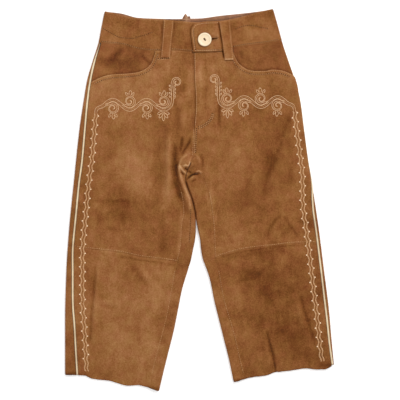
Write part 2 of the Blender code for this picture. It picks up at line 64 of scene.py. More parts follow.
# Form of the flattened tube, as in the solids.
FOLD_RADIUS = 3.2
QUARTER = math.pi * FOLD_RADIUS / 2
HIP_HEIGHT = 5.6
LEG_HEIGHT = 3.7
HIP_LOWEST = 120
LEG_HIGHEST = 20
EDGE_FADE = 14
LOWEST_TOP = 3.1
FOLDS_FROM_EDGE = 9
FOLDS_ON_INNER_TURN = (1.5, 3)

# Levels along the body.
KNEE_NOMINAL = -96
WAIST_NOMINAL = 222
HEM_NOMINAL = -270
BAND_NOMINAL = 245
WRAP_START = 74
WRAP_DONE = 61
INNER_FOLD_FADE = (66, 54)

# Mesh spacing on the panels, and how their edges roll down.
SPACING = 1.7
EDGE_STEPS = np.array((0.0, 0.4, 0.9, 1.6, 2.6))
FRONT_WIDTH = 150
UPPER_LENGTH = 318
LOWER_LENGTH = 174
BAND_LENGTH = 130
BAND_WIDTH = 46
BAND_UNDER_SPACING = 3
BAND_FOLD_COLUMNS = 9

# Piping in the side seam, thinner from PIPING_TAPER below its top.
PIPING_WIDTH = 3.5
PIPING_TOP = {"right": 234.6, "left": 237.8}
PIPING_HALF = 1.55
PIPING_RADIUS = 1.3
PIPING_TOP_SHARE = 0.45
PIPING_TAPER = 34
PIPING_COLUMNS = 11
PIPING_ROWS = 360
PIPING_EDGE_SHARE = 1.05
PIPING_SUNK = 0.5

# Pocket mouth and facing: how the front rises over the facing, and the facing's hidden part.
MOUTH_RAISE = SUEDE_WALL + LAYER_GAP
MOUTH_ZONE = 0.3
MOUTH_PROBES = 200
MOUTH_APPROACH = 0.7
RAISE_FADE = (30, 11)
FACING_UNDERLAP = 7
FACING_LENGTH = 40
FACING_WIDTH_SHARE = 0.6
FACING_START = 0.006
MOUTH_SHADE = -0.2
MOUTH_SHADE_WIDTH = 3.2

# Fly: the right front's columns under the left front, and the y where they lap and drop.
FLY_INSET = 4.5
FLY_DROP = SUEDE_WALL + LAYER_GAP
FLY_COLUMNS = (9, 6, 3, 1, -0.5, -1.2, -1.9, -2.6, -3.3, -4)
FLY_PINCH = 0.4
FLY_STEPS_DOWN_TO = -1.7
FLY_LAP = (118, 134)
FLY_DROPPED = (98, 114)

# Tab, which lies over the band's right half.
TAB_RAISE = BAND_WALL + LAYER_GAP
TAB_RAMP = (28, 48)
UNDER_TAB_END = 27

# Back panels: their strip under the front at the inseam, and the spacing of their columns.
INSEAM_UNDERLAP = 1.8
UNDERLAP_DROP = 1.5
UNDERLAP_FADE = 0.7
CENTRE_BACK_STEP = 3
CENTRE_BACK_KNOTS = 7
TURN_STEPS = 4
LEAST_STRIP = 1
LEAST_STEP = 0.25
BACK_STEPS = (5, 5, 3, 3, 3, 3, 12, 12, 12, 4, 4, 4, 4, 6, 14)

# Where the upper panels' mesh is closer, as shares: rows at the crotch, columns at the inner edge.
CROTCH_ROWS = (0.39, 0.66)
INNER_COLUMNS = (0, 0.26)
CLOSER = 2.3
BACK_CLOSER = 1.6
CLOSE_FADE = 0.05
# How many places a grid's spacing is worked out on, and the fewest points of a path.
PROBES = 500
LEAST_POINTS = 8

# How a grid's rows find the edges that cross its columns.
SETTLING_ROUNDS = 12
SETTLING_STEP = 0.7
BAND_ROUNDS = 5

# Front belt loops: mesh, where they leave the band and reach the front, and their swell.
LOOP_WIDTH = 15
LOOP_LENGTH = 57
LOOP_SPACING = 1.2
LOOP_ON_BAND = (-8, -2)
LOOP_ON_FRONT = (6, 1)
LOOP_SWELL = 0.35
LOOP_FLAT_TO = 0.06
LOOP_FLAT_FROM = 0.9

# Centre-back belt loop under the garment, and how far it lifts what lies on it.
BACK_LOOP_X = -19.5
BACK_LOOP_WIDTH = 12
BACK_LOOP_FOOT = 214
BACK_LOOP_TIP = ((-1, 273.5), (-0.2, 279.5), (0.35, 275.5), (0.75, 276.2), (1, 272))
BACK_LOOP_LENGTH = 62
BACK_LOOP_SPACING_ACROSS = 0.8
BACK_LOOP_SPACING_DOWN = 1.0
BACK_LOOP_LIFT = LOOP_WALL + SEAM_GAP
LIFT_HALF_WIDTH = 7.5
LIFT_FADE = 12
LIFT_LOWEST = (201, 211.5)
# Its tip, past the band's edge: a ridge, one corner turned up, a painted highlight down its middle
# and painted shade on its sides.
PAST_BAND = (271.5, 276)
RIDGE_HEIGHT = 1.2
RIDGE_AT = -0.25
RIDGE_HALF_WIDTH = 0.35
CORNER_HEIGHT = 0.5
CORNER = (0.4, 1)
TIP_HIGHLIGHT_AT = -0.08
TIP_HIGHLIGHT = 0.2
TIP_HIGHLIGHT_FADE = (0.35, 0.05)
TIP_SIDE_SHADE = 0.32
TIP_SIDE_SHADE_FROM = (0.35, 0.6)

# Button and buttonhole.
BUTTON_X = 7.8
BUTTON_Y = 240
BUTTON_RADIUS = 10.2
BUTTON_THICKNESS = 3.6
BUTTON_HOLE_RADIUS = 0.9
BUTTON_HOLE_SPREAD = 1.55
BUTTON_HOLE_ANGLE = math.radians(-52)
BUTTON_SEAT = 0.2
# The slit narrows from one share of its width to the other. Rows bend to it within SLIT_REACH
# beside it and over SLIT_ROWS rows, and SLIT_COLUMN is a column that crosses it.
SLIT_START = (7, 239)
SLIT_END = (25.5, 242)
SLIT_WIDTH = 1.9
SLIT_TAPER = (1.2, 0.6)
SLIT_REACH = 8
SLIT_LAST = 6
SLIT_ROWS = 6
SLIT_COLUMN = 20


# ---- curves ----

def ease(start, end, value):
    """0 at start, 1 at end and smooth between, whichever of the two is larger."""
    t = np.clip((value - start) / (end - start), 0, 1)
    return t * t * (3 - 2 * t)


def lerp(a, b, t):
    return a + (b - a) * t


def hermite(a, b, slope_a, slope_b, width, t):
    """The cubic from a to b over a width, with these slopes at its ends, at the share t."""
    return (
        (2 * t**3 - 3 * t**2 + 1) * a
        + (t**3 - 2 * t**2 + t) * width * slope_a
        + (3 * t**2 - 2 * t**3) * b
        + (t**3 - t**2) * width * slope_b
    )


class Line:
    """A smooth line through a table's rows that never overshoots between two of them."""

    def __init__(self, *table):
        rows = np.array(sorted(table), float)
        self.at, self.value = rows[:, 0], rows[:, 1]
        rises = np.diff(self.value) / np.diff(self.at)
        before, after = rises[:-1], rises[1:]
        turning = before * after <= 0
        total = np.where(turning, 1, before + after)
        inner = np.where(turning, 0, 2 * before * after / total)
        self.slope = np.concatenate([rises[:1], inner, rises[-1:]])

    def __call__(self, at):
        at = np.clip(at, self.at[0], self.at[-1])
        i = np.clip(np.searchsorted(self.at, at, side="right") - 1, 0, len(self.at) - 2)
        width = self.at[i + 1] - self.at[i]
        t = (at - self.at[i]) / width
        return hermite(self.value[i], self.value[i + 1], self.slope[i], self.slope[i + 1], width, t)


def measured(path):
    """The distance of each of a path's points from its start, along it."""
    return np.concatenate([[0], np.cumsum(np.linalg.norm(np.diff(path, axis=0), axis=1))])


def unit(vectors):
    """Vectors along the last axis, made one long."""
    return vectors / np.maximum(np.linalg.norm(vectors, axis=-1, keepdims=True), 1e-9)


def left_of(vectors):
    """Flat vectors turned a quarter to the left."""
    return np.stack([-vectors[..., 1], vectors[..., 0]], axis=-1)


def at_distance(path, distance):
    """The points of a path at these distances from its start."""
    along = measured(path)
    return np.stack([np.interp(distance, along, path[:, k]) for k in range(path.shape[1])], axis=-1)


def smooth_path(*points, step=0.5):
    """A smooth path through these points, with its own points about step apart."""
    points = np.array(points, float)
    chord = measured(points)
    slopes = np.gradient(points, chord, axis=0, edge_order=min(2, len(points) - 1))
    at = np.linspace(0, chord[-1], max(LEAST_POINTS, int(chord[-1] / step)))
    i = np.clip(np.searchsorted(chord, at, side="right") - 1, 0, len(points) - 2)
    width = (chord[i + 1] - chord[i])[:, None]
    t = (at[:, None] - chord[i][:, None]) / width
    path = hermite(points[i], points[i + 1], slopes[i], slopes[i + 1], width, t)
    total = measured(path)[-1]
    return at_distance(path, np.linspace(0, total, max(LEAST_POINTS, int(total / step))))


def beside(path, distance):
    """The path moved to its left by distance, which may differ from point to point."""
    left = left_of(unit(np.gradient(path, axis=0)))
    return path + left * np.broadcast_to(distance, len(path))[:, None]


# ---- outlines, as in the solids ----

# As (y, x). "outer" is the outermost line of a side's fold, "leg" the inner fold's.
OUTER_RIGHT = Line(
    (283, -142.5), (258, -147.5), (237, -151.5), (210, -159.8), (180, -168.5), (150, -173.7),
    (105, -180.3), (30, -188.3), (-45, -195.8), (-105, -199.8), (-180, -201.75), (-265, -201.75),
)
OUTER_LEFT = Line(
    (286.5, 110.5), (262, 117.5), (240, 123.5), (210, 132.8), (180, 143), (150, 150.8),
    (105, 156.8), (60, 162.8), (15, 170.3), (-45, 179.3), (-105, 186.8), (-165, 194.3),
    (-210, 198.2), (-247, 201.75), (-260, 203),
)
CENTRE_BACK = Line((290, -19.5), (120, -16), (74, -12), (63, -12), (54, -14.2), (43, -18.5))
CROTCH_LINE = (
    (54, -14.2), (43, -18.5), (31.5, -21), (18, -18), (0, -11.2), (-12, -8.2), (-28, -5.6),
)
LEG_RIGHT = Line(
    *CROTCH_LINE, (-45, -5.4), (-60, -6.8), (-75, -9.8), (-90, -12.8), (-105, -17.3),
    (-135, -26.3), (-165, -32.3), (-195, -38.3), (-225, -45.8), (-255, -53.3), (-287, -60.8),
)
LEG_LEFT = Line(
    *CROTCH_LINE, (-45, -2.3), (-60, 0.8), (-75, 2.3), (-90, 5.3), (-105, 11), (-120, 15.8),
    (-150, 21.8), (-180, 29.3), (-210, 36.8), (-240, 44.3), (-273, 51.2),
)

# A front panel's inner edge as (y, x): the centre-front seam, then the inseam.
EDGE_RIGHT = Line(
    (222, -7.8), (186, -7.2), (145, -5.1), (111, -7.2), (66, -9.2), (54, -14.5), (43, -24),
    (31.5, -31), (18, -27.5), (0, -23.2), (-18, -22), (-35, -25), (-70, -27.6), (-99, -34),
    (-132, -40), (-174, -47.7), (-246, -66.5), (-287, -76),
)
EDGE_LEFT = Line(
    (222, -7.8), (186, -7.2), (145, -5.1), (111, -7.2), (66, -9.2), (54, -11.5), (43, -12.5),
    (39, 2.2), (22.5, 9.8), (5, 15), (-22, 18.9), (-49, 21.3), (-79, 22.5), (-104, 27),
    (-150, 35.5), (-180, 44.5), (-207, 52), (-238, 59), (-275, 68),
)

# The side seam's middle as (y, distance along the section above the outer fold's outermost line).
SEAM_RIGHT = Line(
    (237, 4.6), (210, 5), (180, 6.9), (150, 7.8), (105, 10.2), (60, 11.2), (22, 10), (-22, 10.4),
    (-67, 9.8), (-105, 11.6), (-157, 13.6), (-187, 16), (-225, 18), (-265, 20.4),
)
SEAM_LEFT = Line(
    (238, -1.5), (70, -1.5), (45, -1), (20, 2.2), (0, 5.2), (-21, 6.6), (-45, 6.5), (-105, 6.5),
    (-150, 7), (-190, 6.2), (-213, 5.8), (-237, 4.8), (-250, 4.2),
)

# Seams and edges that run across, as (x, y).
WAIST_SEAM = Line(
    (-152, 236), (-116, 232.5), (-88, 225), (-67, 223.4), (-42, 224.3), (-9, 222), (34, 223.2),
    (51, 228), (73, 232), (98, 235), (124, 239.3),
)
BACK_WAIST_RIGHT = (-152, 236)
BACK_WAIST_LEFT = (124, 239.3)
BACK_WAIST_Y = 224
FRONT_TOP = Line(
    (-142, 283), (-108, 275.3), (-92, 272.3), (-52, 270.3), (-29, 268.1), (-7, 266.3),
    (28, 267.9), (54, 272.4), (86, 281.1), (110, 286.5),
)
BACK_TOP = Line(
    (-142, 283), (-119, 280.5), (-92, 273.8), (-59, 272.3), (-29, 271.8), (1, 272.9),
    (31, 276.8), (61, 279.9), (86, 282.8), (110, 286.5),
)
TAB_EDGE = Line((221, -9.2), (252, -12.6), (257, -11.6), (260, -9.8))
TAB_TOP = Line((-9.8, 260), (-8, 262), (-2, 265.3), (5, 267), (28, 267.9))
KNEE_SEAM = Line(
    (-198, -69.5), (-167, -73.5), (-118, -79), (-88, -85.5), (-59, -89), (-35, -92.7), (-12, -100),
    (8, -95), (23, -87), (32, -83.7), (58, -75.8), (89, -71), (113, -68.7), (137, -65.6),
    (182, -64),
)
HEM = Line(
    (-201.7, -262), (-172, -263.6), (-161, -268.2), (-135, -271.5), (-107, -278.6), (-92, -277.8),
    (-75, -282.2), (-61, -286.5), (52, -273), (74, -267), (102, -262.8), (112, -259), (137, -256),
    (159, -252.6), (178, -254.4), (188, -253.8), (201.7, -246.8),
)

# A front panel's top edge as (share of the way from centre front to side seam, y).
# It is the waist seam up to the pocket's start, and the pocket mouth from there.
MOUTH_RIGHT = Line(
    (0.388, 223.5), (0.40, 214.5), (0.415, 206.5), (0.45, 198.7), (0.51, 193.3), (0.58, 190.6),
    (0.70, 189.1), (0.80, 188), (0.88, 185.4), (0.95, 181), (1.0, 176.7),
)
MOUTH_LEFT = Line(
    (0.42, 222.5), (0.435, 214), (0.46, 205.5), (0.51, 198.2), (0.55, 195), (0.62, 193.3),
    (0.71, 193.3), (0.80, 195.4), (0.88, 194.2), (0.965, 189), (0.991, 185.5), (1.0, 184),
)

Side = namedtuple("Side", "name sign outer leg edge seam mouth")
RIGHT = Side("right", -1, OUTER_RIGHT, LEG_RIGHT, EDGE_RIGHT, SEAM_RIGHT, MOUTH_RIGHT)
LEFT = Side("left", 1, OUTER_LEFT, LEG_LEFT, EDGE_LEFT, SEAM_LEFT, MOUTH_LEFT)

Loop = namedtuple("Loop", "side top_left top_right foot_left foot_right")
LOOPS = (
    Loop(RIGHT, (-53.5, 270), (-38.3, 269), (-57.9, 213), (-44.2, 213)),
    Loop(LEFT, (29.1, 266.5), (46, 270.2), (37.8, 208.9), (51.2, 209.4)),
)


# ---- folds, creases with painted shade and highlight, and lighter and darker places ----

# Ridges (height over 0) and troughs (under 0). tone is light or shade painted on the nap there:
# over 0 a painted highlight, under 0 painted shade or a painted shadow line.
Crease = namedtuple("Crease", "height half_width tone points")
CREASES = [Crease(*row) for row in (
    # the largest folds, which the solids have too
    (3.4, 7, 0.04, ((-46, 128), (-45.5, 65), (-45, 2))),
    (2.6, 4.2, 0.10, ((-32, 40), (-26, 18), (-18, -2), (-11, -26))),
    (4.0, 9, 0.02, ((-22, 66), (-19, 55), (-16, 44))),
    (2.0, 6, 0.02, ((-149, -100), (-156, -160), (-158, -226))),
    (1.2, 6, 0.02, ((-102, -106), (-88, -114), (-76, -123))),
    (3.0, 9, 0.02, ((142, 124), (124, 64), (103, 0))),
    (1.6, 6, 0.02, ((122, -20), (136, -36), (152, -54))),
    (2.3, 7, 0.02, ((146, -148), (158, -184), (170, -218))),
    (1.6, 6, 0.04, ((107, -196), (116, -228), (122, -262))),
    (2.2, 7, 0.02, ((4, 70), (8, 44), (13, 18))),
    # crotch: the long groove, the rope-like fold right of it and the dome over it
    (-2.4, 4.4, -0.34, ((-36, 92), (-36.8, 66), (-37.4, 44), (-35, 24), (-29, 6), (-23, -10))),
    (-0.8, 2.0, -0.26, ((-31, 60), (-34, 50), (-34, 40), (-31.5, 29), (-26.5, 17), (-21, 4))),
    (0.8, 4.5, 0.10, ((-45.5, 104), (-46.5, 66), (-48, 26), (-46, -14))),
    (1.0, 2.1, 0.28, ((-29.8, 57), (-31, 46), (-27.4, 33.4), (-22, 20), (-15.4, 3), (-12.4, -18))),
    (-1.3, 1.9, -0.28, ((-12, 96), (-16, 85), (-22, 76), (-28, 65))),
    (-1.2, 2.4, -0.26, ((-25.5, 98), (-27, 84), (-29.5, 68))),
    (0.9, 2.4, 0.15, ((-24, 66), (-19, 69.6), (-13, 70.4), (-5, 67.5), (0, 60), (1.4, 50))),
    (0.8, 1.8, 0.24, ((-31.4, 44), (-30.8, 53), (-27.4, 61), (-21, 66.6), (-15, 67.6))),
    (0.5, 6.0, 0.08, ((-20, 62), (-10, 58), (-6, 50))),
    (-0.9, 2.0, -0.16, ((-2, 71), (4, 63), (5.4, 52), (4.6, 44))),
    # the curls, the pit and the crack where the legs part
    (1.4, 1.3, 0.46, (
        (-14.2, 60), (-14.6, 54), (-16.6, 50.6), (-21, 52.2), (-23.8, 51), (-25, 48),
    )),
    (-2.0, 1.4, -0.45, ((-22.8, 48.4), (-20.2, 46.8), (-17, 44.6))),
    (-1.2, 1.1, -0.30, ((-18, 44.6), (-14, 41.6), (-10.5, 39.2))),
    (1.4, 1.5, 0.44, ((-29.6, 54), (-28, 48.5), (-24.6, 43.6), (-19.6, 39.8), (-14.6, 37.4))),
    (-1.4, 1.2, -0.34, ((-29.4, 44), (-26, 40.4), (-22.4, 36))),
    (-2.4, 1.3, -0.62, ((0.6, 38.8), (-5, 39.2), (-10.6, 38), (-14.6, 34.6), (-19.4, 30))),
    (1.4, 1.3, 0.38, ((-7, 41.2), (-3.4, 43.2), (0, 43.4), (2.4, 41), (1.6, 37.6))),
    (1.0, 1.9, 0.20, ((-17, 30.4), (-12, 34), (-6, 36.6))),
    (-0.8, 1.4, -0.26, ((-12.6, 25.6), (-9.4, 29), (-4.6, 31.6))),
    (-1.3, 1.2, -0.40, ((-21.4, 30), (-17.6, 19), (-13, 8), (-9.5, -3), (-6.5, -17), (-4.5, -32))),
    (0.6, 4.0, 0.08, ((-8, 22), (-2, 10), (1, -6))),
    # hips and fly
    (-0.9, 4.4, -0.10, ((-33, 150), (-32, 122), (-31, 96))),
    (0.8, 4.6, 0.08, ((-24, 145), (-25, 122), (-23, 100))),
    (-0.8, 2.6, -0.12, ((29, 146), (29.6, 130), (29.4, 110))),
    (0.6, 4.0, 0.06, ((36, 180), (37, 150), (36, 120))),
    (-0.6, 1.6, -0.10, ((-92, 274), (-92.5, 262), (-92, 246))),
    (0.5, 5.0, 0.05, ((-128, 264), (-112, 254), (-96, 252))),
    (0.6, 5.0, 0.06, ((62, 256), (80, 252), (100, 246))),
    (-0.4, 3.0, -0.06, ((104, 262), (92, 259), (78, 262))),
    # buttonhole: painted highlight on the puckers round it and painted shade in its slit, and a
    # painted highlight down the middle of the back loop's end
    (0.3, 1.1, 0.14, ((15, 249), (22.5, 248.4), (28, 246), (30, 241.5))),
    (0.3, 1.1, 0.12, ((29.6, 240.5), (26.6, 236.8), (21, 235.6), (15, 236))),
    (0.0, 1.2, -0.45, ((12, 240), (17, 240.8), (25, 242))),
    (0.0, 2.2, 0.34, ((-19.2, 278), (-19.0, 272), (-18.8, 266))),
    # painted shadow lines beside the belt loops, the tab, the fly and the band's top edge, and
    # painted shade and highlight on the fly and beside it
    (-0.5, 1.2, -0.50, ((28.0, 268), (30, 256), (33, 238), (36.6, 210))),
    (-0.3, 1.2, -0.20, ((-54.6, 270), (-56.6, 244), (-58.8, 214))),
    (-0.3, 1.0, -0.16, ((-37.2, 270), (-40, 244), (-43, 214))),
    (-0.3, 1.2, -0.24, ((-9.8, 222), (-12, 238), (-13.8, 252), (-12, 259), (-8, 264))),
    (0.0, 1.0, -0.10, ((-10.6, 222), (0, 220.6), (14, 220.8), (30, 221.6))),
    (-0.2, 0.9, -0.05, ((-9.2, 222), (-8.6, 186), (-6.6, 145), (-8.4, 104))),
    (0.0, 1.0, -0.30, ((-50, 271.6), (-29, 269.8), (-9, 268), (28, 269.4), (54, 274), (80, 280.6))),
    (0.0, 5.0, -0.10, ((-26, 205), (-25, 180), (-27, 150))),
    (0.0, 4.0, 0.08, ((-15, 205), (-14.5, 175), (-15, 140))),
    (0.2, 2.4, 0.09, ((1, 214), (2, 180), (1, 140), (0, 118))),
    (-0.3, 2.4, -0.09, ((9, 216), (9.6, 176), (8, 130))),
    (-0.3, 2.2, -0.12, ((30, 200), (30.4, 172), (29.6, 136), (29, 104))),
    (0.2, 2.6, 0.08, ((19.5, 210), (20, 170), (18, 128))),
    # pocket facings
    (-1.5, 4.4, -0.20, ((-113, 233), (-121, 222), (-129, 213.5), (-143, 205))),
    (0.8, 4.6, 0.11, ((-107, 228), (-113, 216), (-122, 206))),
    (0.3, 4.0, 0.07, ((-128, 228), (-137, 218), (-146, 212))),
    (-1.1, 2.4, -0.20, ((-89.5, 223), (-85, 214), (-77, 207), (-69, 203))),
    (0.5, 4.0, 0.08, ((-81, 222), (-75, 214), (-68, 209))),
    (-0.8, 2.2, -0.16, ((60.5, 225), (62.5, 217), (64, 210))),
    (0.5, 5.0, 0.06, ((72, 226), (78, 214), (90, 206))),
    # right thigh and knee
    (-0.6, 7.0, -0.10, ((-66, 100), (-61, 60), (-62, 20), (-68, -30))),
    (-0.4, 2.6, -0.09, ((-166, 0), (-140, -3), (-116, -1), (-92, -4))),
    (0.6, 9.0, 0.05, ((-98, 74), (-96, 30), (-88, -10))),
    (-0.5, 8.0, -0.06, ((-120, 34), (-112, -4), (-116, -46))),
    (0.5, 6.0, 0.04, ((-134, -62), (-104, -66), (-74, -72))),
    (0.4, 2.6, 0.13, ((-27, -10), (-28.4, -46), (-33, -88))),
    (0.6, 5.0, 0.05, ((-44, 0), (-46, -36), (-44, -78))),
    (-0.6, 5.0, -0.08, ((-58, -16), (-56, -52), (-50, -84))),
    (-0.4, 3.0, -0.06, ((-148, -40), (-122, -46), (-98, -44))),
    # right shin
    (-1.1, 1.9, -0.14, ((-155.5, -96), (-158.5, -130), (-162, -168), (-164.5, -214))),
    (0.6, 2.6, 0.06, ((-151, -100), (-154, -140), (-157, -180))),
    (-0.9, 4.2, -0.16, ((-106, -92), (-97, -104), (-86, -118), (-74, -134))),
    (0.6, 3.6, 0.07, ((-94, -96), (-84, -108), (-76, -120))),
    (-0.3, 1.3, -0.16, ((-122, -84.5), (-88, -90), (-59, -94.6), (-37, -98.6))),
    (-0.5, 2.6, -0.10, ((-156, -157), (-140, -160), (-120, -163))),
    (0.5, 3.4, 0.08, ((-150, -151), (-134, -153), (-114, -157))),
    (0.5, 6.0, 0.07, ((-64, -116), (-68, -160), (-82, -206))),
    (0.4, 8.0, 0.04, ((-122, -192), (-104, -214), (-90, -250))),
    (-0.4, 9.0, -0.05, ((-112, -232), (-96, -206), (-82, -180))),
    (0.5, 4.6, 0.08, ((-82, -218), (-86, -244), (-92, -270))),
    # left thigh and knee
    (-1.5, 9.0, -0.12, ((134, 136), (119, 90), (106, 50), (96, 18), (91, -6))),
    (-0.6, 2.6, -0.07, ((124, 92), (112, 60), (102, 34), (91, -6))),
    (-0.6, 4.2, -0.13, ((137, 134), (134, 120), (129, 102))),
    (0.8, 4.0, 0.09, ((118, 56), (110, 34), (102, 12))),
    (-0.8, 2.4, -0.14, ((126, -20), (114, -30), (104, -44), (102, -62))),
    (-0.9, 2.4, -0.13, ((124, -20), (134, -36), (150, -60))),
    (0.7, 4.6, 0.09, ((110, -30), (116, -46), (120, -64))),
    (0.6, 9.0, 0.06, ((50, 108), (58, 60), (60, 14))),
    (-0.5, 8.0, -0.06, ((76, 46), (66, 10), (62, -28))),
    (0.6, 4.0, 0.09, ((17, 26), (20, -10), (23, -66))),
    (0.0, 0.8, 0.16, ((11.6, 9), (12.6, -1), (13.4, -12))),
    (0.0, 0.8, 0.15, ((16, 10), (16.6, 1), (18, -8))),
    (0.0, 0.9, 0.13, ((30, -8), (26, -18), (24, -32))),
    (-0.5, 6.0, -0.07, ((142, 72), (136, 34), (130, 0))),
    (0.5, 5.0, 0.06, ((36, -58), (64, -56), (96, -58))),
    # left shin
    (-1.3, 2.4, -0.19, ((151, -140), (158, -168), (166, -192), (173, -214))),
    (0.8, 3.4, 0.08, ((144, -146), (151, -174), (160, -200))),
    (-1.1, 1.6, -0.24, ((100.5, -194), (105, -214), (111, -234), (115.5, -266))),
    (0.6, 3.0, 0.09, ((97, -206), (103, -230), (107, -254))),
    (-0.3, 1.4, -0.12, ((30, -86.5), (58, -78.4), (89, -73.4), (124, -69.4), (150, -67.4))),
    (-0.3, 4.5, -0.10, ((32, -91), (58, -84), (89, -79), (124, -75), (150, -73))),
    (-0.6, 2.2, -0.10, ((52, -128), (64, -120), (82, -118), (96, -108))),
    (0.6, 6.0, 0.07, ((52, -100), (58, -140), (67, -182))),
    (-0.6, 8.0, -0.07, ((110, -96), (104, -132), (95, -166))),
    (0.5, 7.0, 0.06, ((132, -148), (140, -176), (143, -210))),
    (0.5, 8.0, 0.06, ((76, -190), (82, -222), (84, -256))),
    (-0.5, 4.0, -0.08, ((60, -104), (80, -112), (100, -106))),
)]
# The share of its length over which a crease fades at each end, at the most, and how many
# half widths long that is on a narrow one.
TAPER = 0.3
FADE_IN_WIDTHS = 4

# Soft lighter or darker places of the nap, as ellipses.
Patch = namedtuple("Patch", "x y wide tall tone")
PATCHES = [Patch(*row) for row in (
    (-100, 170, 60, 26, 0.15),
    (92, 176, 50, 20, 0.05),
    (-118, 60, 46, 60, 0.02),
    (-84, 50, 22, 44, 0.07),
    (-126, -4, 42, 26, -0.07),
    (-84, -44, 60, 34, -0.07),
    (-110, -70, 44, 14, 0.02),
    (-96, -150, 60, 50, 0.06),
    (-84, -232, 44, 40, 0.08),
    (46, 60, 36, 50, 0.03),
    (104, 60, 18, 50, -0.07),
    (112, -34, 44, 36, -0.09),
    (50, -40, 24, 40, 0.04),
    (84, -112, 70, 34, -0.09),
    (134, -170, 46, 60, -0.14),
    (56, -150, 14, 50, 0.08),
    (104, -236, 50, 22, -0.01),
    (-38, 150, 12, 50, -0.05),
    (-46, -44, 16, 40, -0.07),
    (6, 172, 18, 50, 0.08),
    (-4, 176, 8, 60, 0.05),
    (84, 158, 50, 20, -0.07),
    (150, 130, 8, 50, 0.10),
    (-116, 204, 26, 9, -0.05),
    (-96, 184, 50, 12, 0.04),
    (9, 246, 20, 22, 0.13),
    (-116, 258, 40, 20, 0.04),
    (88, 262, 34, 20, 0.04),
    (-122, 206, 18, 7, -0.05),
    (92, 225, 9, 5, -0.08),
    (-30, 246, 26, 20, -0.07),
    (58, 108, 40, 24, -0.04),
    (92, 278, 60, 5, -0.04),
    # frayed, soiled spots at the hems
    (-191, -261, 14, 3, -0.22),
    (-68, -283, 16, 3, -0.26),
    (60, -271, 20, 3, -0.28),
    (196, -248, 12, 3, -0.22),
)]


def near_path(points, x, y):
    """How far each place is from a path, and the share of the path where it is nearest."""
    points = np.array(points, float)
    along = measured(points)
    nearest = np.full(np.shape(x), np.inf)
    share = np.zeros(np.shape(x))
    for start, end, before in zip(points, points[1:], along):
        step = end - start
        length = np.hypot(*step)
        t = np.clip(((x - start[0]) * step[0] + (y - start[1]) * step[1]) / length**2, 0, 1)
        distance = np.hypot(x - start[0] - t * step[0], y - start[1] - t * step[1])
        closer = distance < nearest
        nearest = np.where(closer, distance, nearest)
        share = np.where(closer, (before + t * length) / along[-1], share)
    return nearest, share


class Unevenness:
    """Smooth seeded hills from -1 to 1, about size apart, on a lattice turned by angle."""

    KNOTS = 64

    def __init__(self, size, seed, angle):
        self.size = size
        self.across, self.up = math.cos(angle), math.sin(angle)
        self.knots = np.random.default_rng(seed).uniform(-1, 1, (self.KNOTS, self.KNOTS))

    def __call__(self, x, y):
        u = (x * self.across + y * self.up) / self.size
        v = (y * self.across - x * self.up) / self.size
        i, j = np.floor(u).astype(int), np.floor(v).astype(int)
        s, t = ease(0, 1, u - i), ease(0, 1, v - j)
        rows = [
            lerp(self.knots[i % self.KNOTS, (j + k) % self.KNOTS],
                 self.knots[(i + 1) % self.KNOTS, (j + k) % self.KNOTS], s)
            for k in (0, 1)
        ]
        return lerp(rows[0], rows[1], t)


# (hills, height in mm, change of tone)
HILLS = (
    (Unevenness(34, 11, 0.5), 0.30, 0.07),
    (Unevenness(15, 12, 1.1), 0.16, 0.06),
    (Unevenness(7, 13, 0.2), 0.07, 0.04),
)


def relief(x, y, creased=1.0):
    """(height, tone) of all creases and hills at these places; creased scales their painted light.
    """
    height, tone = np.zeros(np.shape(x)), np.zeros(np.shape(x))
    for crease in CREASES:
        distance, share = near_path(crease.points, x, y)
        length = measured(np.array(crease.points, float))[-1]
        taper = min(TAPER, FADE_IN_WIDTHS * crease.half_width / length)
        shape = ease(0, taper, share) * ease(1, 1 - taper, share)
        shape = shape * np.exp(-((distance / crease.half_width) ** 2))
        height += crease.height * shape
        tone += creased * crease.tone * shape
    for patch in PATCHES:
        away = ((x - patch.x) / patch.wide) ** 2 + ((y - patch.y) / patch.tall) ** 2
        tone += patch.tone * np.exp(-away)
    for hills, rise, change in HILLS:
        level = hills(x, y)
        height += rise * level
        tone += change * level
    return height, tone


# ---- the flattened tube ----

def lift(x, y):
    """How far the centre-back belt loop lifts everything that lies on it."""
    beyond = np.abs(x - BACK_LOOP_X) - LIFT_HALF_WIDTH
    return BACK_LOOP_LIFT * ease(LIFT_FADE, 0, beyond) * ease(*LIFT_LOWEST, y)


def crown(side, x, y):
    """The height of the top face's outer surface."""
    resting = lerp(LEG_HEIGHT, HIP_HEIGHT, ease(LEG_HIGHEST, HIP_LOWEST, y))
    edge = 2 * FOLD_RADIUS - resting
    from_outer = side.sign * (side.outer(y) - x) - FOLD_RADIUS
    from_inner = side.sign * (x - side.leg(y)) - FOLD_RADIUS
    below_crotch = ease(*INNER_FOLD_FADE, y)
    height = resting + edge * np.exp(-((from_outer / EDGE_FADE) ** 2))
    height += below_crotch * edge * np.exp(-((from_inner / EDGE_FADE) ** 2))
    folds = relief(x, y)[0] * ease(0, FOLDS_FROM_EDGE, from_outer)
    return np.maximum(height + folds, LOWEST_TOP) + lift(x, y)


def inner_turn(side, y, c):
    """How far the inner fold has turned at distance c: 0 where it starts, pi where it is done."""
    return (c - QUARTER - side.sign * (side.outer(y) - side.leg(y))) / FOLD_RADIUS + 2


def place_of(side, x, y):
    """The section distance c of a point at x on the top face."""
    return -(side.sign * (side.outer(y) - x) - FOLD_RADIUS + QUARTER)


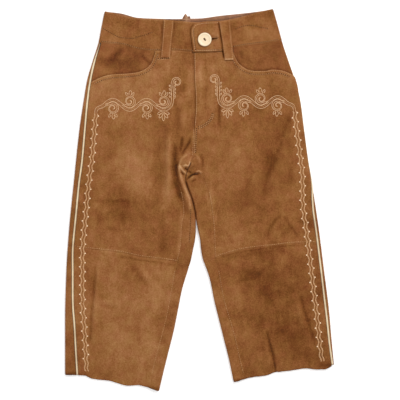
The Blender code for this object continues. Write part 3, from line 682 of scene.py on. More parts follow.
def section_x(side, y, c, wrapped):
    """x of the surface at distance c on the section at y."""
    outer = side.outer(y)
    top = outer - side.sign * (FOLD_RADIUS - c - QUARTER)
    fold_angle = np.clip(c, -QUARTER, QUARTER) / FOLD_RADIUS
    fold = outer - side.sign * FOLD_RADIUS * (1 - np.cos(fold_angle))
    under = outer - side.sign * (FOLD_RADIUS + c - QUARTER)
    x = np.where(c < -QUARTER, top, np.where(c <= QUARTER, fold, under))
    if not wrapped:
        return x
    inner = side.leg(y) + side.sign * FOLD_RADIUS
    angle = inner_turn(side, y, c)
    turning = inner - side.sign * FOLD_RADIUS * np.sin(np.clip(angle, 0, math.pi))
    strip = inner + side.sign * (angle - math.pi) * FOLD_RADIUS
    return np.where(angle <= 0, x, np.where(angle <= math.pi, turning, strip))


def tube_point(side, y, c, out=0.0, wrapped=False):
    """Points at distance c on the section at y, moved out from the surface by out."""
    x = section_x(side, y, c, wrapped)
    turn = FOLD_RADIUS + out
    angle = np.clip(c / FOLD_RADIUS, -math.pi / 2, math.pi / 2)
    fold_x = side.outer(y) - side.sign * (FOLD_RADIUS - turn * np.cos(angle))
    on_top = c < -QUARTER
    on_fold = (c >= -QUARTER) & (c <= QUARTER)
    z = np.where(on_fold, FOLD_RADIUS - turn * np.sin(angle), lift(x, y) - out)
    x = np.where(on_fold, fold_x, x)
    if wrapped:
        inner = side.leg(y) + side.sign * FOLD_RADIUS
        angle = inner_turn(side, y, c)
        turning = (angle > 0) & (angle <= math.pi)
        bend = np.clip(angle, 0, math.pi)
        x = np.where(turning, inner - side.sign * turn * np.sin(bend), x)
        folds = relief(x, y + 0 * x)[0] * ease(*FOLDS_ON_INNER_TURN, bend)
        z = np.where(turning, FOLD_RADIUS - turn * np.cos(bend) + folds, z)
        on_top = on_top | (angle > math.pi)
    z = np.where(on_top, crown(side, x, y) + out, z)
    return np.stack([x, y + np.zeros_like(x), z], axis=-1)


def settled(side, y, down, place, top, bottom, wrapped=False):
    """The y at the share down between two crossing edges, in the columns that place(y) gives."""
    for _ in range(SETTLING_ROUNDS):
        x = section_x(side, y, place(y), wrapped)
        y = lerp(y, lerp(top(x), bottom(x), down), SETTLING_STEP)
    return y


def seam_place(side, y):
    """The column of the side seam's middle. The two below are a front's own edges."""
    return -side.seam(y)


def front_edge_place(side, y):
    return place_of(side, side.edge(y) + side.sign * SEAM_GAP / 2, y)


def front_side_place(side, y):
    return seam_place(side, y) - PIPING_WIDTH / 2 - SEAM_GAP


def front_place(side, y, share):
    """The column at a share of the way from a front panel's inner edge to its side seam."""
    inner = front_edge_place(side, y) + (FLY_INSET if side is RIGHT else 0)
    return lerp(inner, front_side_place(side, y), share)


def back_waist(x):
    """The hidden waist seam of the back, straight from each outer fold to centre back."""
    right, left = [
        lerp(BACK_WAIST_Y, end_y, (x - BACK_LOOP_X) / (end_x - BACK_LOOP_X))
        for end_x, end_y in (BACK_WAIST_RIGHT, BACK_WAIST_LEFT)
    ]
    return np.where(x < BACK_LOOP_X, right, left)


def moved_up(line, by):
    """A line across the garment, moved up or, where by is under 0, down."""
    return lambda x: line(x) + by


above_waist = moved_up(WAIST_SEAM, SEAM_GAP / 2)
below_waist = moved_up(WAIST_SEAM, -SEAM_GAP / 2)
above_back_waist = moved_up(back_waist, SEAM_GAP / 2)
below_back_waist = moved_up(back_waist, -SEAM_GAP / 2)
above_knee = moved_up(KNEE_SEAM, SEAM_GAP / 2)
below_knee = moved_up(KNEE_SEAM, -SEAM_GAP / 2)

RAGGED = Unevenness(5, 21, 0.3)
RAGGED_BY = 0.35


def at_hem(x):
    """The raw hem, cut a little unevenly by hand."""
    return HEM(x) + RAGGED_BY * RAGGED(x, 0 * x)


# ---- materials ----

class Finish:
    """A Principled material, and short calls that add nodes to it."""

    def __init__(self, name, roughness, **sockets):
        self.material = bpy.data.materials.new(name)
        self.material.use_nodes = True
        self.nodes = self.material.node_tree.nodes
        self.links = self.material.node_tree.links
        self.shader = self.nodes["Principled BSDF"]
        self.shader.inputs["Roughness"].default_value = roughness
        for socket, value in sockets.items():
            self.shader.inputs[socket.replace("_", " ")].default_value = value
        self.coordinates = self.nodes.new("ShaderNodeTexCoord").outputs["Object"]

    def stretched(self, *scale):
        """Object coordinates multiplied by scale, to draw a texture out along one way."""
        node = self.nodes.new("ShaderNodeMapping")
        node.inputs["Scale"].default_value = scale
        self.links.new(self.coordinates, node.inputs["Vector"])
        return node.outputs["Vector"]

    def noise(self, size, detail=4, roughness=0.6, vector=None, distortion=0.0):
        """Noise whose grains are about size millimetres."""
        node = self.nodes.new("ShaderNodeTexNoise")
        node.inputs["Scale"].default_value = 1 / (size * MM)
        node.inputs["Detail"].default_value = detail
        node.inputs["Roughness"].default_value = roughness
        node.inputs["Distortion"].default_value = distortion
        self.links.new(vector or self.coordinates, node.inputs["Vector"])
        return node.outputs[0]

    def attribute(self, name):
        """A value that the mesh has on each of its points."""
        node = self.nodes.new("ShaderNodeAttribute")
        node.attribute_name = name
        return node.outputs["Fac"]

    def math(self, operation, *values):
        """One step of arithmetic on outputs or plain values."""
        node = self.nodes.new("ShaderNodeMath")
        node.operation = operation
        for socket, value in zip(node.inputs, values):
            if isinstance(value, (int, float)):
                socket.default_value = value
            else:
                self.links.new(value, socket)
        return node.outputs[0]

    def around_zero(self, noise, amount):
        """Noise as a change of plus or minus amount, roughly."""
        return self.math("MULTIPLY", self.math("SUBTRACT", noise, 0.5), 2 * amount)

    def total(self, *values):
        result = values[0]
        for value in values[1:]:
            result = self.math("ADD", result, value)
        return result

    def ramp(self, value, *stops):
        """A colour ramp of (place, colour) stops."""
        node = self.nodes.new("ShaderNodeValToRGB")
        elements = node.color_ramp.elements
        while len(elements) < len(stops):
            elements.new(0.5)
        for element, (place, colour) in zip(elements, stops):
            element.position = place
            element.color = (*colour, 1)
        self.links.new(value, node.inputs["Fac"])
        return node.outputs["Color"]

    def turned(self, colour, change):
        """The colour with its hue changed, as a share of the whole circle."""
        node = self.nodes.new("ShaderNodeHueSaturation")
        self.links.new(self.math("ADD", change, 0.5), node.inputs["Hue"])
        self.links.new(colour, node.inputs["Color"])
        return node.outputs["Color"]

    def colour(self, output):
        self.links.new(output, self.shader.inputs["Base Color"])

    def bump(self, *heights):
        """Bump of (height output, depth in millimetres) pairs, one on the other."""
        normal = None
        for height, depth in heights:
            node = self.nodes.new("ShaderNodeBump")
            node.inputs["Strength"].default_value = 1.0
            node.inputs["Distance"].default_value = depth * MM
            self.links.new(height, node.inputs["Height"])
            if normal is not None:
                self.links.new(normal, node.inputs["Normal"])
            normal = node.outputs["Normal"]
        self.links.new(normal, self.shader.inputs["Normal"])


# Colour ramps as (place, colour), from the darkest tone to the lightest.
SUEDE_STOPS = (
    (0.0, (0.045, 0.014, 0.004)),
    (0.25, (0.137, 0.041, 0.0070)),
    (0.5, (0.246, 0.0925, 0.0250)),
    (0.75, (0.352, 0.158, 0.059)),
    (1.0, (0.540, 0.300, 0.145)),
)
FACING_STOPS = (
    (0.0, (0.050, 0.015, 0.004)),
    (0.3, (0.125, 0.036, 0.0085)),
    (0.5, (0.206, 0.070, 0.0185)),
    (0.75, (0.300, 0.118, 0.038)),
    (1.0, (0.430, 0.200, 0.082)),
)
FLESH_STOPS = (
    (0.0, (0.080, 0.030, 0.014)),
    (0.5, (0.300, 0.145, 0.080)),
    (1.0, (0.500, 0.300, 0.180)),
)
CORD_STOPS = ((0.0, (0.36, 0.22, 0.11)), (0.5, (0.80, 0.64, 0.41)), (1.0, (0.90, 0.80, 0.60)))
THREAD_STOPS = (
    (0.0, (0.028, 0.007, 0.0015)),
    (0.35, (0.30, 0.125, 0.043)),
    (0.65, (0.63, 0.360, 0.175)),
    (1.0, (0.96, 0.71, 0.48)),
)
HORN_STOPS = ((0.0, (0.42, 0.24, 0.12)), (0.5, (0.82, 0.64, 0.41)), (1.0, (0.95, 0.86, 0.67)))
FLOOR_STOPS = ((0.0, (0.95, 0.95, 0.95)), (1.0, (0.98, 0.98, 0.98)))
SUEDE_HUE_CHANGE = 0.014
CORD_RIB_SCALE = 480
CORD_RIB_DISTORTION = 1.2


def suede(name, stops):
    """Napped leather: cloudy tone, brushed streaks and a fine grain over the shells' own tone."""
    finish = Finish(
        name, 0.95, Sheen_Weight=0.08, Sheen_Roughness=0.45, Sheen_Tint=(0.95, 0.66, 0.40, 1),
        Specular_IOR_Level=0.15,
    )
    clouds = finish.noise(24, 6, 0.66, distortion=1.2)
    streaks = finish.noise(5, 3, 0.6, finish.stretched(1.0, 0.3, 1.0))
    mottle = finish.noise(3.2, 3, 0.7)
    grain = finish.noise(1.6, 2, 0.8)
    # The shells' tone holds the painted shade and highlight of folds, creases and edges too.
    tone = finish.total(
        finish.attribute("tone"),
        finish.around_zero(clouds, 0.17),
        finish.around_zero(streaks, 0.11),
        finish.around_zero(mottle, 0.10),
        finish.around_zero(grain, 0.27),
    )
    hue = finish.around_zero(finish.noise(14, 3, 0.6), SUEDE_HUE_CHANGE)
    finish.colour(finish.turned(finish.ramp(tone, *stops), hue))
    finish.bump((mottle, 0.25), (grain, 0.2))
    return finish.material


def cream_cord():
    """Piping: a cord under cream leather-cloth, finely ribbed across, a little soiled."""
    finish = Finish("piping", 0.5, Sheen_Weight=0.15, Sheen_Roughness=0.4)
    ribs = finish.nodes.new("ShaderNodeTexWave")
    ribs.bands_direction = "Y"
    ribs.inputs["Scale"].default_value = CORD_RIB_SCALE
    ribs.inputs["Distortion"].default_value = CORD_RIB_DISTORTION
    finish.links.new(finish.coordinates, ribs.inputs["Vector"])
    soil = finish.noise(9, 4, 0.65)
    tone = finish.total(finish.attribute("tone"), finish.around_zero(soil, 0.22))
    finish.colour(finish.ramp(tone, *CORD_STOPS))
    finish.bump((ribs.outputs["Fac"], 0.10), (finish.noise(0.5, 2), 0.05))
    return finish.material


def thread():
    """Sewing and embroidery thread, two-ply, with a soft lustre."""
    finish = Finish("thread", 0.8, Specular_IOR_Level=0.04)
    fibre = finish.noise(0.35, 2, 0.6)
    tone = finish.total(finish.attribute("tone"), finish.around_zero(fibre, 0.16))
    finish.colour(finish.ramp(tone, *THREAD_STOPS))
    finish.bump((fibre, 0.10))
    return finish.material


def horn():
    """Pale horn: turned streaks and faint clouds under a soft polish."""
    finish = Finish(
        "horn", 0.34, Coat_Weight=0.25, Coat_Roughness=0.25, Specular_IOR_Level=0.45,
    )
    clouds = finish.noise(5, 4, 0.6, distortion=0.8)
    streaks = finish.noise(1.6, 3, 0.6, finish.stretched(0.35, 1.0, 1.0))
    tone = finish.total(
        finish.attribute("tone"),
        finish.around_zero(clouds, 0.20),
        finish.around_zero(streaks, 0.14),
    )
    finish.colour(finish.ramp(tone, *HORN_STOPS))
    finish.bump((streaks, 0.05))
    return finish.material


# ---- meshes ----

# One seeded source of unevenness for all stitches and knots, in the order in which they are made.
VARIED = np.random.default_rng(5)
MIDDLE_TONE = 0.5


def new_object(name, points, faces, tone, materials, smooth=True):
    """A mesh object from points in millimetres, with its tone on each point."""
    mesh = bpy.data.meshes.new(name)
    mesh.from_pydata((np.asarray(points) * MM).tolist(), [], faces)
    attribute = mesh.attributes.new("tone", "FLOAT", "POINT")
    attribute.data.foreach_set("value", np.asarray(tone, np.float32).ravel())
    for material in materials:
        mesh.materials.append(material)
    if smooth:
        mesh.shade_smooth()
    obj = bpy.data.objects.new(name, mesh)
    bpy.context.scene.collection.objects.link(obj)
    return obj


def grid_faces(rows, columns, turned_over, left_out=()):
    """Faces of a grid of points, but for those left out."""
    faces = []
    for i in range(rows - 1):
        for j in range(columns - 1):
            if (i, j) in left_out:
                continue
            a = i * columns + j
            corners = (a, a + 1, a + columns + 1, a + columns)
            faces.append(corners[::-1] if turned_over else corners)
    return faces


def ring_faces(first, rings, sides):
    """Faces of a closed form whose rings follow each other from the point numbered first."""
    faces = []
    for i in range(rings - 1):
        for j in range(sides):
            a = first + i * sides + j
            b = first + i * sides + (j + 1) % sides
            faces.append((a, b, b + sides, a + sides))
    faces.append(tuple(first + j for j in reversed(range(sides))))
    faces.append(tuple(first + (rings - 1) * sides + j for j in range(sides)))
    return faces


def circle(x, y, radius, sides):
    """The corners of a round outline."""
    angles = [2 * math.pi * j / sides for j in range(sides)]
    return [(x + radius * math.cos(angle), y + radius * math.sin(angle)) for angle in angles]


def edge_distances(grid):
    """How far each point of a grid is from its first and last column and row, along the cloth."""
    across = np.linalg.norm(np.diff(grid, axis=1), axis=2)
    down = np.linalg.norm(np.diff(grid, axis=0), axis=2)
    left = np.concatenate([np.zeros((len(grid), 1)), np.cumsum(across, axis=1)], axis=1)
    top = np.concatenate([np.zeros((1, grid.shape[1])), np.cumsum(down, axis=0)], axis=0)
    return left, left[:, -1:] - left, top, top[-1:] - top


def outward(grid, turned_over):
    """Unit normals of a grid, on its outer side."""
    across, down = np.gradient(grid, axis=1), np.gradient(grid, axis=0)
    return unit(np.cross(down, across) if turned_over else np.cross(across, down))


# How a panel's edge is finished: how far it rolls down, over what width, and its change of tone.
Edge = namedtuple("Edge", "roll width tone")
SEAM = Edge(0.3, 1.0, 0.02)
# A turned edge is lighter: partly worn nap, partly a painted highlight on its roll.
TURNED = Edge(0.55, 0.9, 0.16)
RAW = Edge(0.25, 0.8, -0.14)
FREE = Edge(0.0, 1.0, 0.0)
PRESSED = Edge(0.0, 1.2, 0.08)
# A sunken edge is painted shade, where the piping sinks between the panels.
SUNKEN = Edge(0.0, 0.7, -0.55)
EDGE_TONE_SPREAD = 1.4

# How a panel's own skin differs in tone from the rest.
PANEL_TONE = {
    "front_lower_left": -0.05, "front_lower_right": 0.03, "waistband_right": -0.03,
    "belt_loop_back": -0.02,
}

# Where the creases' painted shade and highlight come in, so that the underside has none of the
# front's: between these heights, and on the back's strip that shows over the front's top edge.
CREASED_ABOVE = (1.6, 2.6)
CREASED_PAST_TOP = (-2.5, -1.5)

# Each cloth piece's outer surface by name, which sewing and embroidery lie on.
shells = {}


def cloth(name, grid, wall, materials, turned_over, edges, left_out=(), shade=0.0):
    """A cloth piece: a shell on a grid of points, its four edges finished, its wall inward.

    edges are the finishes of the first column, last column, first row and last row, and shade is
    painted shade and highlight that the piece gets on top of the rest of its tone.
    """
    roll = np.zeros(grid.shape[:2])
    x, y, z = np.moveaxis(grid, -1, 0)
    # The creases' painted shade and highlight, kept off the underside.
    creased = np.maximum(ease(*CREASED_ABOVE, z), ease(*CREASED_PAST_TOP, y - FRONT_TOP(x)))
    tone = MIDDLE_TONE + relief(x, y, creased)[1] + PANEL_TONE.get(name, 0) + shade
    for distance, edge in zip(edge_distances(grid), edges):
        near = np.exp(-((distance / edge.width) ** 2))
        roll = np.maximum(roll, edge.roll * near)
        tone += edge.tone * np.exp(-((distance / (EDGE_TONE_SPREAD * edge.width)) ** 2))
    grid = grid - outward(grid, turned_over) * roll[..., None]
    rows, columns = grid.shape[:2]
    faces = grid_faces(rows, columns, turned_over, left_out)
    obj = new_object(f"{name}_shell", grid.reshape(-1, 3), faces, tone, materials)
    obj["node"] = name
    shells[name] = (grid.reshape(-1, 3), faces)
    solidify = obj.modifiers.new("Wall", "SOLIDIFY")
    solidify.thickness = wall * MM
    solidify.offset = -1
    solidify.material_offset = len(materials) - 1
    solidify.material_offset_rim = len(materials) - 1
    return obj


def edge_shares(width, spacing, close=(0, 0), times=1.0):
    """Shares from 0 to 1 over a width, closer within close and where an edge rolls down."""
    near = EDGE_STEPS / width
    probe = np.linspace(near[-1], 1 - near[-1], PROBES)
    within = ease(close[0] - CLOSE_FADE, close[0], probe)
    within = within * ease(close[1] + CLOSE_FADE, close[1], probe)
    density = 1 + (times - 1) * within
    reached = np.concatenate([[0], np.cumsum(density[1:] * np.diff(probe))])
    wanted = np.linspace(0, reached[-1], int(reached[-1] * width / spacing))
    middle = np.interp(wanted, reached, probe)
    return np.concatenate([near[:-1], middle, 1 - near[:-1][::-1]])


# ---- panels ----

def mouth_columns(side, even):
    """Columns as shares of the top edge: spread evenly along the pocket mouth's own length."""
    start = side.mouth.at[0]
    share = np.linspace(start, 1, MOUTH_PROBES)
    length = measured(np.stack([share * FRONT_WIDTH, side.mouth(share)], axis=1))
    before = start * FRONT_WIDTH
    turn = before / (before + length[-1])
    along = (even - turn) / (1 - turn) * length[-1]
    return np.where(even < turn, even / turn * start, np.interp(along, length, share))


def mouth_raise(side, share, below_top):
    """How far a front is raised by the pocket facing that lies beneath its mouth."""
    start = side.mouth.at[0]
    return MOUTH_RAISE * ease(start * MOUTH_APPROACH, start, share) * ease(*RAISE_FADE, below_top)


def fly_grid(side, nominal, down):
    """The right front's innermost columns, which lie under the left front at the fly."""
    column = np.array(FLY_COLUMNS)[None, :]
    lap = ease(*FLY_LAP, nominal)
    pinched = -FLY_PINCH + FLY_PINCH * column / FLY_COLUMNS[0]
    beyond = lerp(np.where(column > 0, pinched, column), column, lap)
    under = ease(-FLY_INSET, FLY_STEPS_DOWN_TO, column) * ease(*FLY_DROPPED, nominal)

    def place(y):
        return place_of(side, side.edge(y) - SEAM_GAP / 2 + beyond, y)

    y = settled(side, nominal + 0 * column, down, place, below_waist, above_knee)
    return tube_point(side, y, place(y), -FLY_DROP * under)


def front_upper(side, materials):
    """A front from the waist seam and the pocket mouth down to the knee seam."""
    even = edge_shares(FRONT_WIDTH, SPACING, INNER_COLUMNS, CLOSER)
    top_share = mouth_columns(side, even)[None, :]
    down = edge_shares(UPPER_LENGTH, SPACING, CROTCH_ROWS, CLOSER)[:, None]
    share = lerp(top_share, even[None, :], ease(0, MOUTH_ZONE, down))
    nominal = lerp(WAIST_NOMINAL, KNEE_NOMINAL, down)

    def place(y):
        return front_place(side, y, share)

    def top(x):
        return np.where(top_share >= side.mouth.at[0], side.mouth(top_share), below_waist(x))

    y = settled(side, nominal + 0 * share, down, place, top, above_knee)
    c = place(y)
    below_top = top(section_x(side, y, c, False)) - y
    grid = tube_point(side, y, c, mouth_raise(side, top_share, below_top))
    if side is RIGHT:
        grid = np.concatenate([fly_grid(side, nominal, down), grid], axis=1)
    edges = (SEAM, SEAM, TURNED, SEAM)
    return cloth(f"front_upper_{side.name}", grid, SUEDE_WALL, materials, side is LEFT, edges)


def front_lower(side, materials):
    """A front shin panel, from the knee seam to the raw hem."""
    share = edge_shares(FRONT_WIDTH, SPACING)[None, :]
    down = edge_shares(LOWER_LENGTH, SPACING)[:, None]
    nominal = lerp(KNEE_NOMINAL, HEM_NOMINAL, down)

    def place(y):
        return lerp(front_edge_place(side, y), front_side_place(side, y), share)

    y = settled(side, nominal + 0 * share, down, place, below_knee, at_hem)
    grid = tube_point(side, y, place(y))
    edges = (SEAM, SEAM, SEAM, RAW)
    return cloth(f"front_lower_{side.name}", grid, SUEDE_WALL, materials, side is LEFT, edges)


def back_knots(side, y, wrapped):
    """The back's main columns: from the side seam round the outer fold, under, to its last edge."""
    first = seam_place(side, y) + PIPING_WIDTH / 2 + SEAM_GAP
    fold = [(first - QUARTER) / 2, -QUARTER, -QUARTER / 2, 0, QUARTER / 2]
    knots = [first] + [np.maximum(c, first + LEAST_STEP * (i + 1)) for i, c in enumerate(fold)]
    outer = side.outer(y)
    if wrapped:
        inner = side.leg(y) + side.sign * FOLD_RADIUS
        flat_end = QUARTER + side.sign * (outer - inner) - FOLD_RADIUS
        strip = side.sign * (side.edge(y) - inner) + INSEAM_UNDERLAP
        end = flat_end + math.pi * FOLD_RADIUS + strip
        turned = np.minimum(flat_end + math.pi * FOLD_RADIUS, end - LEAST_STRIP)
        turn = [lerp(flat_end, turned, k / TURN_STEPS) for k in range(TURN_STEPS + 1)]
        last = turn + [(turned + end) / 2, end]
    else:
        end = QUARTER + side.sign * (outer - CENTRE_BACK(y)) - FOLD_RADIUS - SEAM_GAP / 2
        last = [end - CENTRE_BACK_STEP * k for k in reversed(range(CENTRE_BACK_KNOTS))]
    knots += [QUARTER + 0 * y] + [lerp(QUARTER, last[0], share) for share in (1 / 3, 2 / 3)]
    return np.stack([k + 0 * y for k in knots + last])


def back_grid(side, nominal, down, top, bottom, wrapped):
    """A back panel's points, wrapped round the leg's inner fold or ending at centre back."""
    steps = [np.linspace(k, k + 1, count, endpoint=False) for k, count in enumerate(BACK_STEPS)]
    column = np.append(np.concatenate(steps), len(BACK_STEPS))[None, :]
    before = np.minimum(column.astype(int), len(BACK_STEPS) - 1)

    def place(y):
        knots = back_knots(side, y, wrapped)
        i = np.broadcast_to(before, y.shape)[None]
        start = np.take_along_axis(knots, i, axis=0)[0]
        end = np.take_along_axis(knots, i + 1, axis=0)[0]
        return lerp(start, end, column - before)

    y = settled(side, nominal + 0 * column, down, place, top, bottom, wrapped)
    c = place(y)
    if not wrapped:
        return tube_point(side, y, c)
    past_edge = side.sign * (section_x(side, y, c, True) - side.edge(y))
    beneath = ease(0, UNDERLAP_FADE, past_edge) * (inner_turn(side, y, c) > math.pi / 2)
    return tube_point(side, y, c, -UNDERLAP_DROP * beneath, True)


def back(side, name, ends, length, top, bottom, last_edge, materials):
    """A back panel between two seams; above the crotch it passes from one grid to the other."""
    close = CROTCH_ROWS if length == UPPER_LENGTH else (0, 0)
    down = edge_shares(length, SPACING, close, BACK_CLOSER)[:, None]
    nominal = lerp(*ends, down)
    wrap = np.clip((WRAP_START - nominal) / (WRAP_START - WRAP_DONE), 0, 1)[..., None]
    grid = back_grid(side, nominal, down, top, bottom, True)
    if wrap.min() < 1:
        grid = lerp(back_grid(side, nominal, down, top, bottom, False), grid, wrap)
    edges = (SEAM, SEAM, SEAM, last_edge)
    return cloth(f"{name}_{side.name}", grid, SUEDE_WALL, materials, side is LEFT, edges)


def pocket_facing(side, materials):
    """The facing behind a pocket mouth, shaded along it."""
    even = edge_shares(FRONT_WIDTH * FACING_WIDTH_SHARE, SPACING)[None, :]
    share = np.maximum(lerp(side.mouth.at[0], 1, even), side.mouth.at[0] + FACING_START)
    down = edge_shares(FACING_LENGTH, SPACING)[:, None]
    mouth = side.mouth(share)

    def place(y):
        return front_place(side, y, share)

    def top(x):
        return below_waist(x) - SEAM_GAP

    def bottom(_):
        return mouth - FACING_UNDERLAP

    y = settled(side, mouth + 0 * down, down, place, top, bottom)
    grid = tube_point(side, y, place(y))
    above_mouth = edge_distances(grid)[3] - FACING_UNDERLAP
    shade = MOUTH_SHADE * np.exp(-((above_mouth / MOUTH_SHADE_WIDTH) ** 2))
    edges = (SEAM, SEAM, SEAM, FREE)
    name = f"pocket_facing_{side.name}"
    return cloth(name, grid, SUEDE_WALL, materials, side is LEFT, edges, shade=shade)


def piping(side, materials):
    """The cord in the side seam, thinner towards its upper end."""
    share = np.linspace(-1, 1, PIPING_COLUMNS)[None, :]
    top, bottom = PIPING_TOP[side.name], HEM(side.outer(HEM_NOMINAL))
    y = np.linspace(top, bottom, PIPING_ROWS)[:, None] + 0 * share
    full = lerp(PIPING_TOP_SHARE, 1, ease(top, top - PIPING_TAPER, y))
    out = full * PIPING_RADIUS * np.sqrt(1 - (share / PIPING_EDGE_SHARE) ** 2) - PIPING_SUNK
    grid = tube_point(side, y, seam_place(side, y) + full * PIPING_HALF * share, out)
    # Painted shade along both sides, where the cord sinks into the seam.
    edges = (SUNKEN, SUNKEN, FREE, FREE)
    return cloth(f"piping_{side.name}", grid, PIPING_WALL, materials, side is LEFT, edges)


# ---- waist ----

def band_raise(side, x):
    """How far the left half's tab lies over the right half."""
    return TAB_RAISE * ease(TAB_RAMP[1], TAB_RAMP[0], x) if side is LEFT else 0 * x


def waistband(side, materials):
    """A waistband half, from its front end round the fold to centre back."""
    front = edge_shares(BAND_LENGTH, SPACING)
    under = edge_shares(BAND_LENGTH, BAND_UNDER_SPACING)[1:]
    fold = np.linspace(-QUARTER, QUARTER, BAND_FOLD_COLUMNS)[1:-1]
    up = 1 - edge_shares(BAND_WIDTH, SPACING)[:, None]
    is_under = np.concatenate([front < 0, fold > 0, np.ones(len(under) + 1, bool)])[None, :]

    def place(y):
        end = QUARTER + side.sign * (side.outer(y) - BACK_LOOP_X) - FOLD_RADIUS - SEAM_GAP / 2
        start = place_of(side, TAB_EDGE(y) if side is LEFT else UNDER_TAB_END, y)
        middle = fold[None, :] + 0 * start[:, :1]
        on_top = lerp(start[:, :1], -QUARTER, front[None, :])
        below = lerp(QUARTER, end[:, :1], np.insert(under, 0, 0)[None, :])
        return np.concatenate([on_top, middle, below], axis=1)

    def top(x):
        visible = np.where((side is LEFT) & (x < TAB_TOP.at[-1]), TAB_TOP(x), FRONT_TOP(x))
        return np.where(is_under, BACK_TOP(x), visible)

    def bottom(x):
        return np.where(is_under, above_back_waist(x), above_waist(x))

    y = BAND_NOMINAL + 0 * up * is_under
    for _ in range(BAND_ROUNDS):
        c = place(y)
        x = section_x(side, y, c, False)
        y = lerp(bottom(x), top(x), up)
    c = place(y)
    x = section_x(side, y, c, False)
    raised = np.where(c < -QUARTER, band_raise(side, x), 0)
    grid = tube_point(side, y, c, raised)
    left_out = ()
    if side is LEFT:
        grid, left_out = slitted(grid)
    edges = (TURNED if side is LEFT else RAW, SEAM, TURNED, SEAM)
    name = f"waistband_{side.name}"
    return cloth(name, grid, BAND_WALL, materials, side is LEFT, edges, left_out)


def slitted(grid):
    """Opens the buttonhole: two rows close on its sides, and the faces between them go.

    Places are picked by x alone, so the band's back layer opens below the buttonhole too. That
    is a known fault.
    """
    start, end = np.array(SLIT_START), np.array(SLIT_END)
    above = int(np.argmin(np.abs(grid[:, SLIT_COLUMN, 1] - (start[1] + end[1]) / 2)))
    x = grid[above, :, 0]
    wanted = start[1] + (x - start[0]) * (end[1] - start[1]) / (end[0] - start[0])
    near = ease(start[0] - SLIT_REACH, start[0], x) * ease(end[0] + SLIT_REACH, end[0], x)
    near = near * (grid[0, :, 0] < end[0] + SLIT_LAST)
    rows = np.arange(len(grid))[:, None]
    fade = np.exp(-(((rows - above - 0.5) / SLIT_ROWS) ** 2)) * near[None, :]
    target = wanted[None, :] + (above + 0.5 - rows) * SPACING
    grid = grid.copy()
    grid[..., 1] = lerp(grid[..., 1], target, fade)
    half = SLIT_WIDTH / 2 * np.interp(x, (start[0], end[0]), SLIT_TAPER)
    grid[above, :, 1] = lerp(grid[above, :, 1], wanted + half, near)
    grid[above + 1, :, 1] = lerp(grid[above + 1, :, 1], wanted - half, near)
    columns = np.flatnonzero((x > start[0]) & (x < end[0]))
    return grid, {(above, j) for j in columns[:-1]}


def belt_loop(loop, materials):
    """A front belt loop, over the band and the pocket mouth, with a slight swell."""
    share = edge_shares(LOOP_WIDTH, LOOP_SPACING)[None, :]
    down = edge_shares(LOOP_LENGTH, LOOP_SPACING)[:, None]
    top_x, top_y = [lerp(a, b, share) for a, b in zip(loop.top_left, loop.top_right)]
    foot_x, foot_y = [lerp(a, b, share) for a, b in zip(loop.foot_left, loop.foot_right)]
    x, y = lerp(top_x, foot_x, down), lerp(top_y, foot_y, down)
    above_seam = y - WAIST_SEAM(x)
    on_band = ease(*LOOP_ON_BAND, above_seam)
    edge, end = front_place(loop.side, y, 0), front_place(loop.side, y, 1)
    across = (place_of(loop.side, x, y) - edge) / (end - edge)
    on_front = mouth_raise(loop.side, across, -above_seam) * ease(*LOOP_ON_FRONT, above_seam)
    under = crown(loop.side, x, y) + np.maximum(band_raise(loop.side, x) * on_band, on_front)
    between = ease(0, LOOP_FLAT_TO, down) * ease(1, LOOP_FLAT_FROM, down)
    swell = LOOP_SWELL * np.sin(math.pi * share) * between
    grid = np.stack([x, y, under + LAYER_GAP + LOOP_WALL + swell], axis=-1)
    edges = (TURNED, TURNED, TURNED, RAW)
    return cloth(f"belt_loop_{loop.side.name}", grid, LOOP_WALL, materials, True, edges)


def back_belt_loop(materials):
    """The centre-back loop: flat under the band, its folded tip curled up past the top edge."""
    share = edge_shares(BACK_LOOP_WIDTH, BACK_LOOP_SPACING_ACROSS)[None, :]
    down = edge_shares(BACK_LOOP_LENGTH, BACK_LOOP_SPACING_DOWN)[:, None]
    across = 2 * share - 1
    tip = Line(*BACK_LOOP_TIP)(across)
    x = BACK_LOOP_X + across * BACK_LOOP_WIDTH / 2
    y = lerp(tip, BACK_LOOP_FOOT, down)
    past_band = ease(*PAST_BAND, y)
    ridge = RIDGE_HEIGHT * np.exp(-(((across - RIDGE_AT) / RIDGE_HALF_WIDTH) ** 2))
    curl = past_band * (ridge + CORNER_HEIGHT * ease(*CORNER, across))
    grid = np.stack([x + 0 * y, y, LOOP_WALL + curl], axis=-1)
    edges = (PRESSED, PRESSED, PRESSED, PRESSED)
    # Painted highlight down the tip's middle and painted shade on its sides.
    aside = np.abs(across - TIP_HIGHLIGHT_AT)
    tip_painted_light = past_band * (TIP_HIGHLIGHT * ease(*TIP_HIGHLIGHT_FADE, aside) - TIP_SIDE_SHADE * ease(*TIP_SIDE_SHADE_FROM, aside))
    return cloth("belt_loop_back", grid, LOOP_WALL, materials, True, edges, shade=tip_painted_light)


# ---- thread ----

class Ground:
    """The outer surface of some cloth shells, seen from straight above."""

    START = 80

    def __init__(self, *names):
        points, faces = [], []
        for name in names:
            first = len(points)
            shell_points, shell_faces = shells[name]
            points += shell_points.tolist()
            faces += [tuple(first + k for k in face) for face in shell_faces]
        self.tree = BVHTree.FromPolygons(points, faces)

    def height(self, places):
        """The height at each (x, y), and not a number where the cloth isn't."""
        heights = []
        for x, y in places.reshape(-1, 2):
            hit = self.tree.ray_cast(Vector((x, y, self.START)), Vector((0, 0, -1)))[0]
            heights.append(math.nan if hit is None else hit.z)
        return np.array(heights).reshape(places.shape[:-1])


class Level:
    """A flat top at one height, such as the button's."""

    def __init__(self, height):
        self.level = height

    def height(self, places):
        return np.full(places.shape[:-1], self.level)


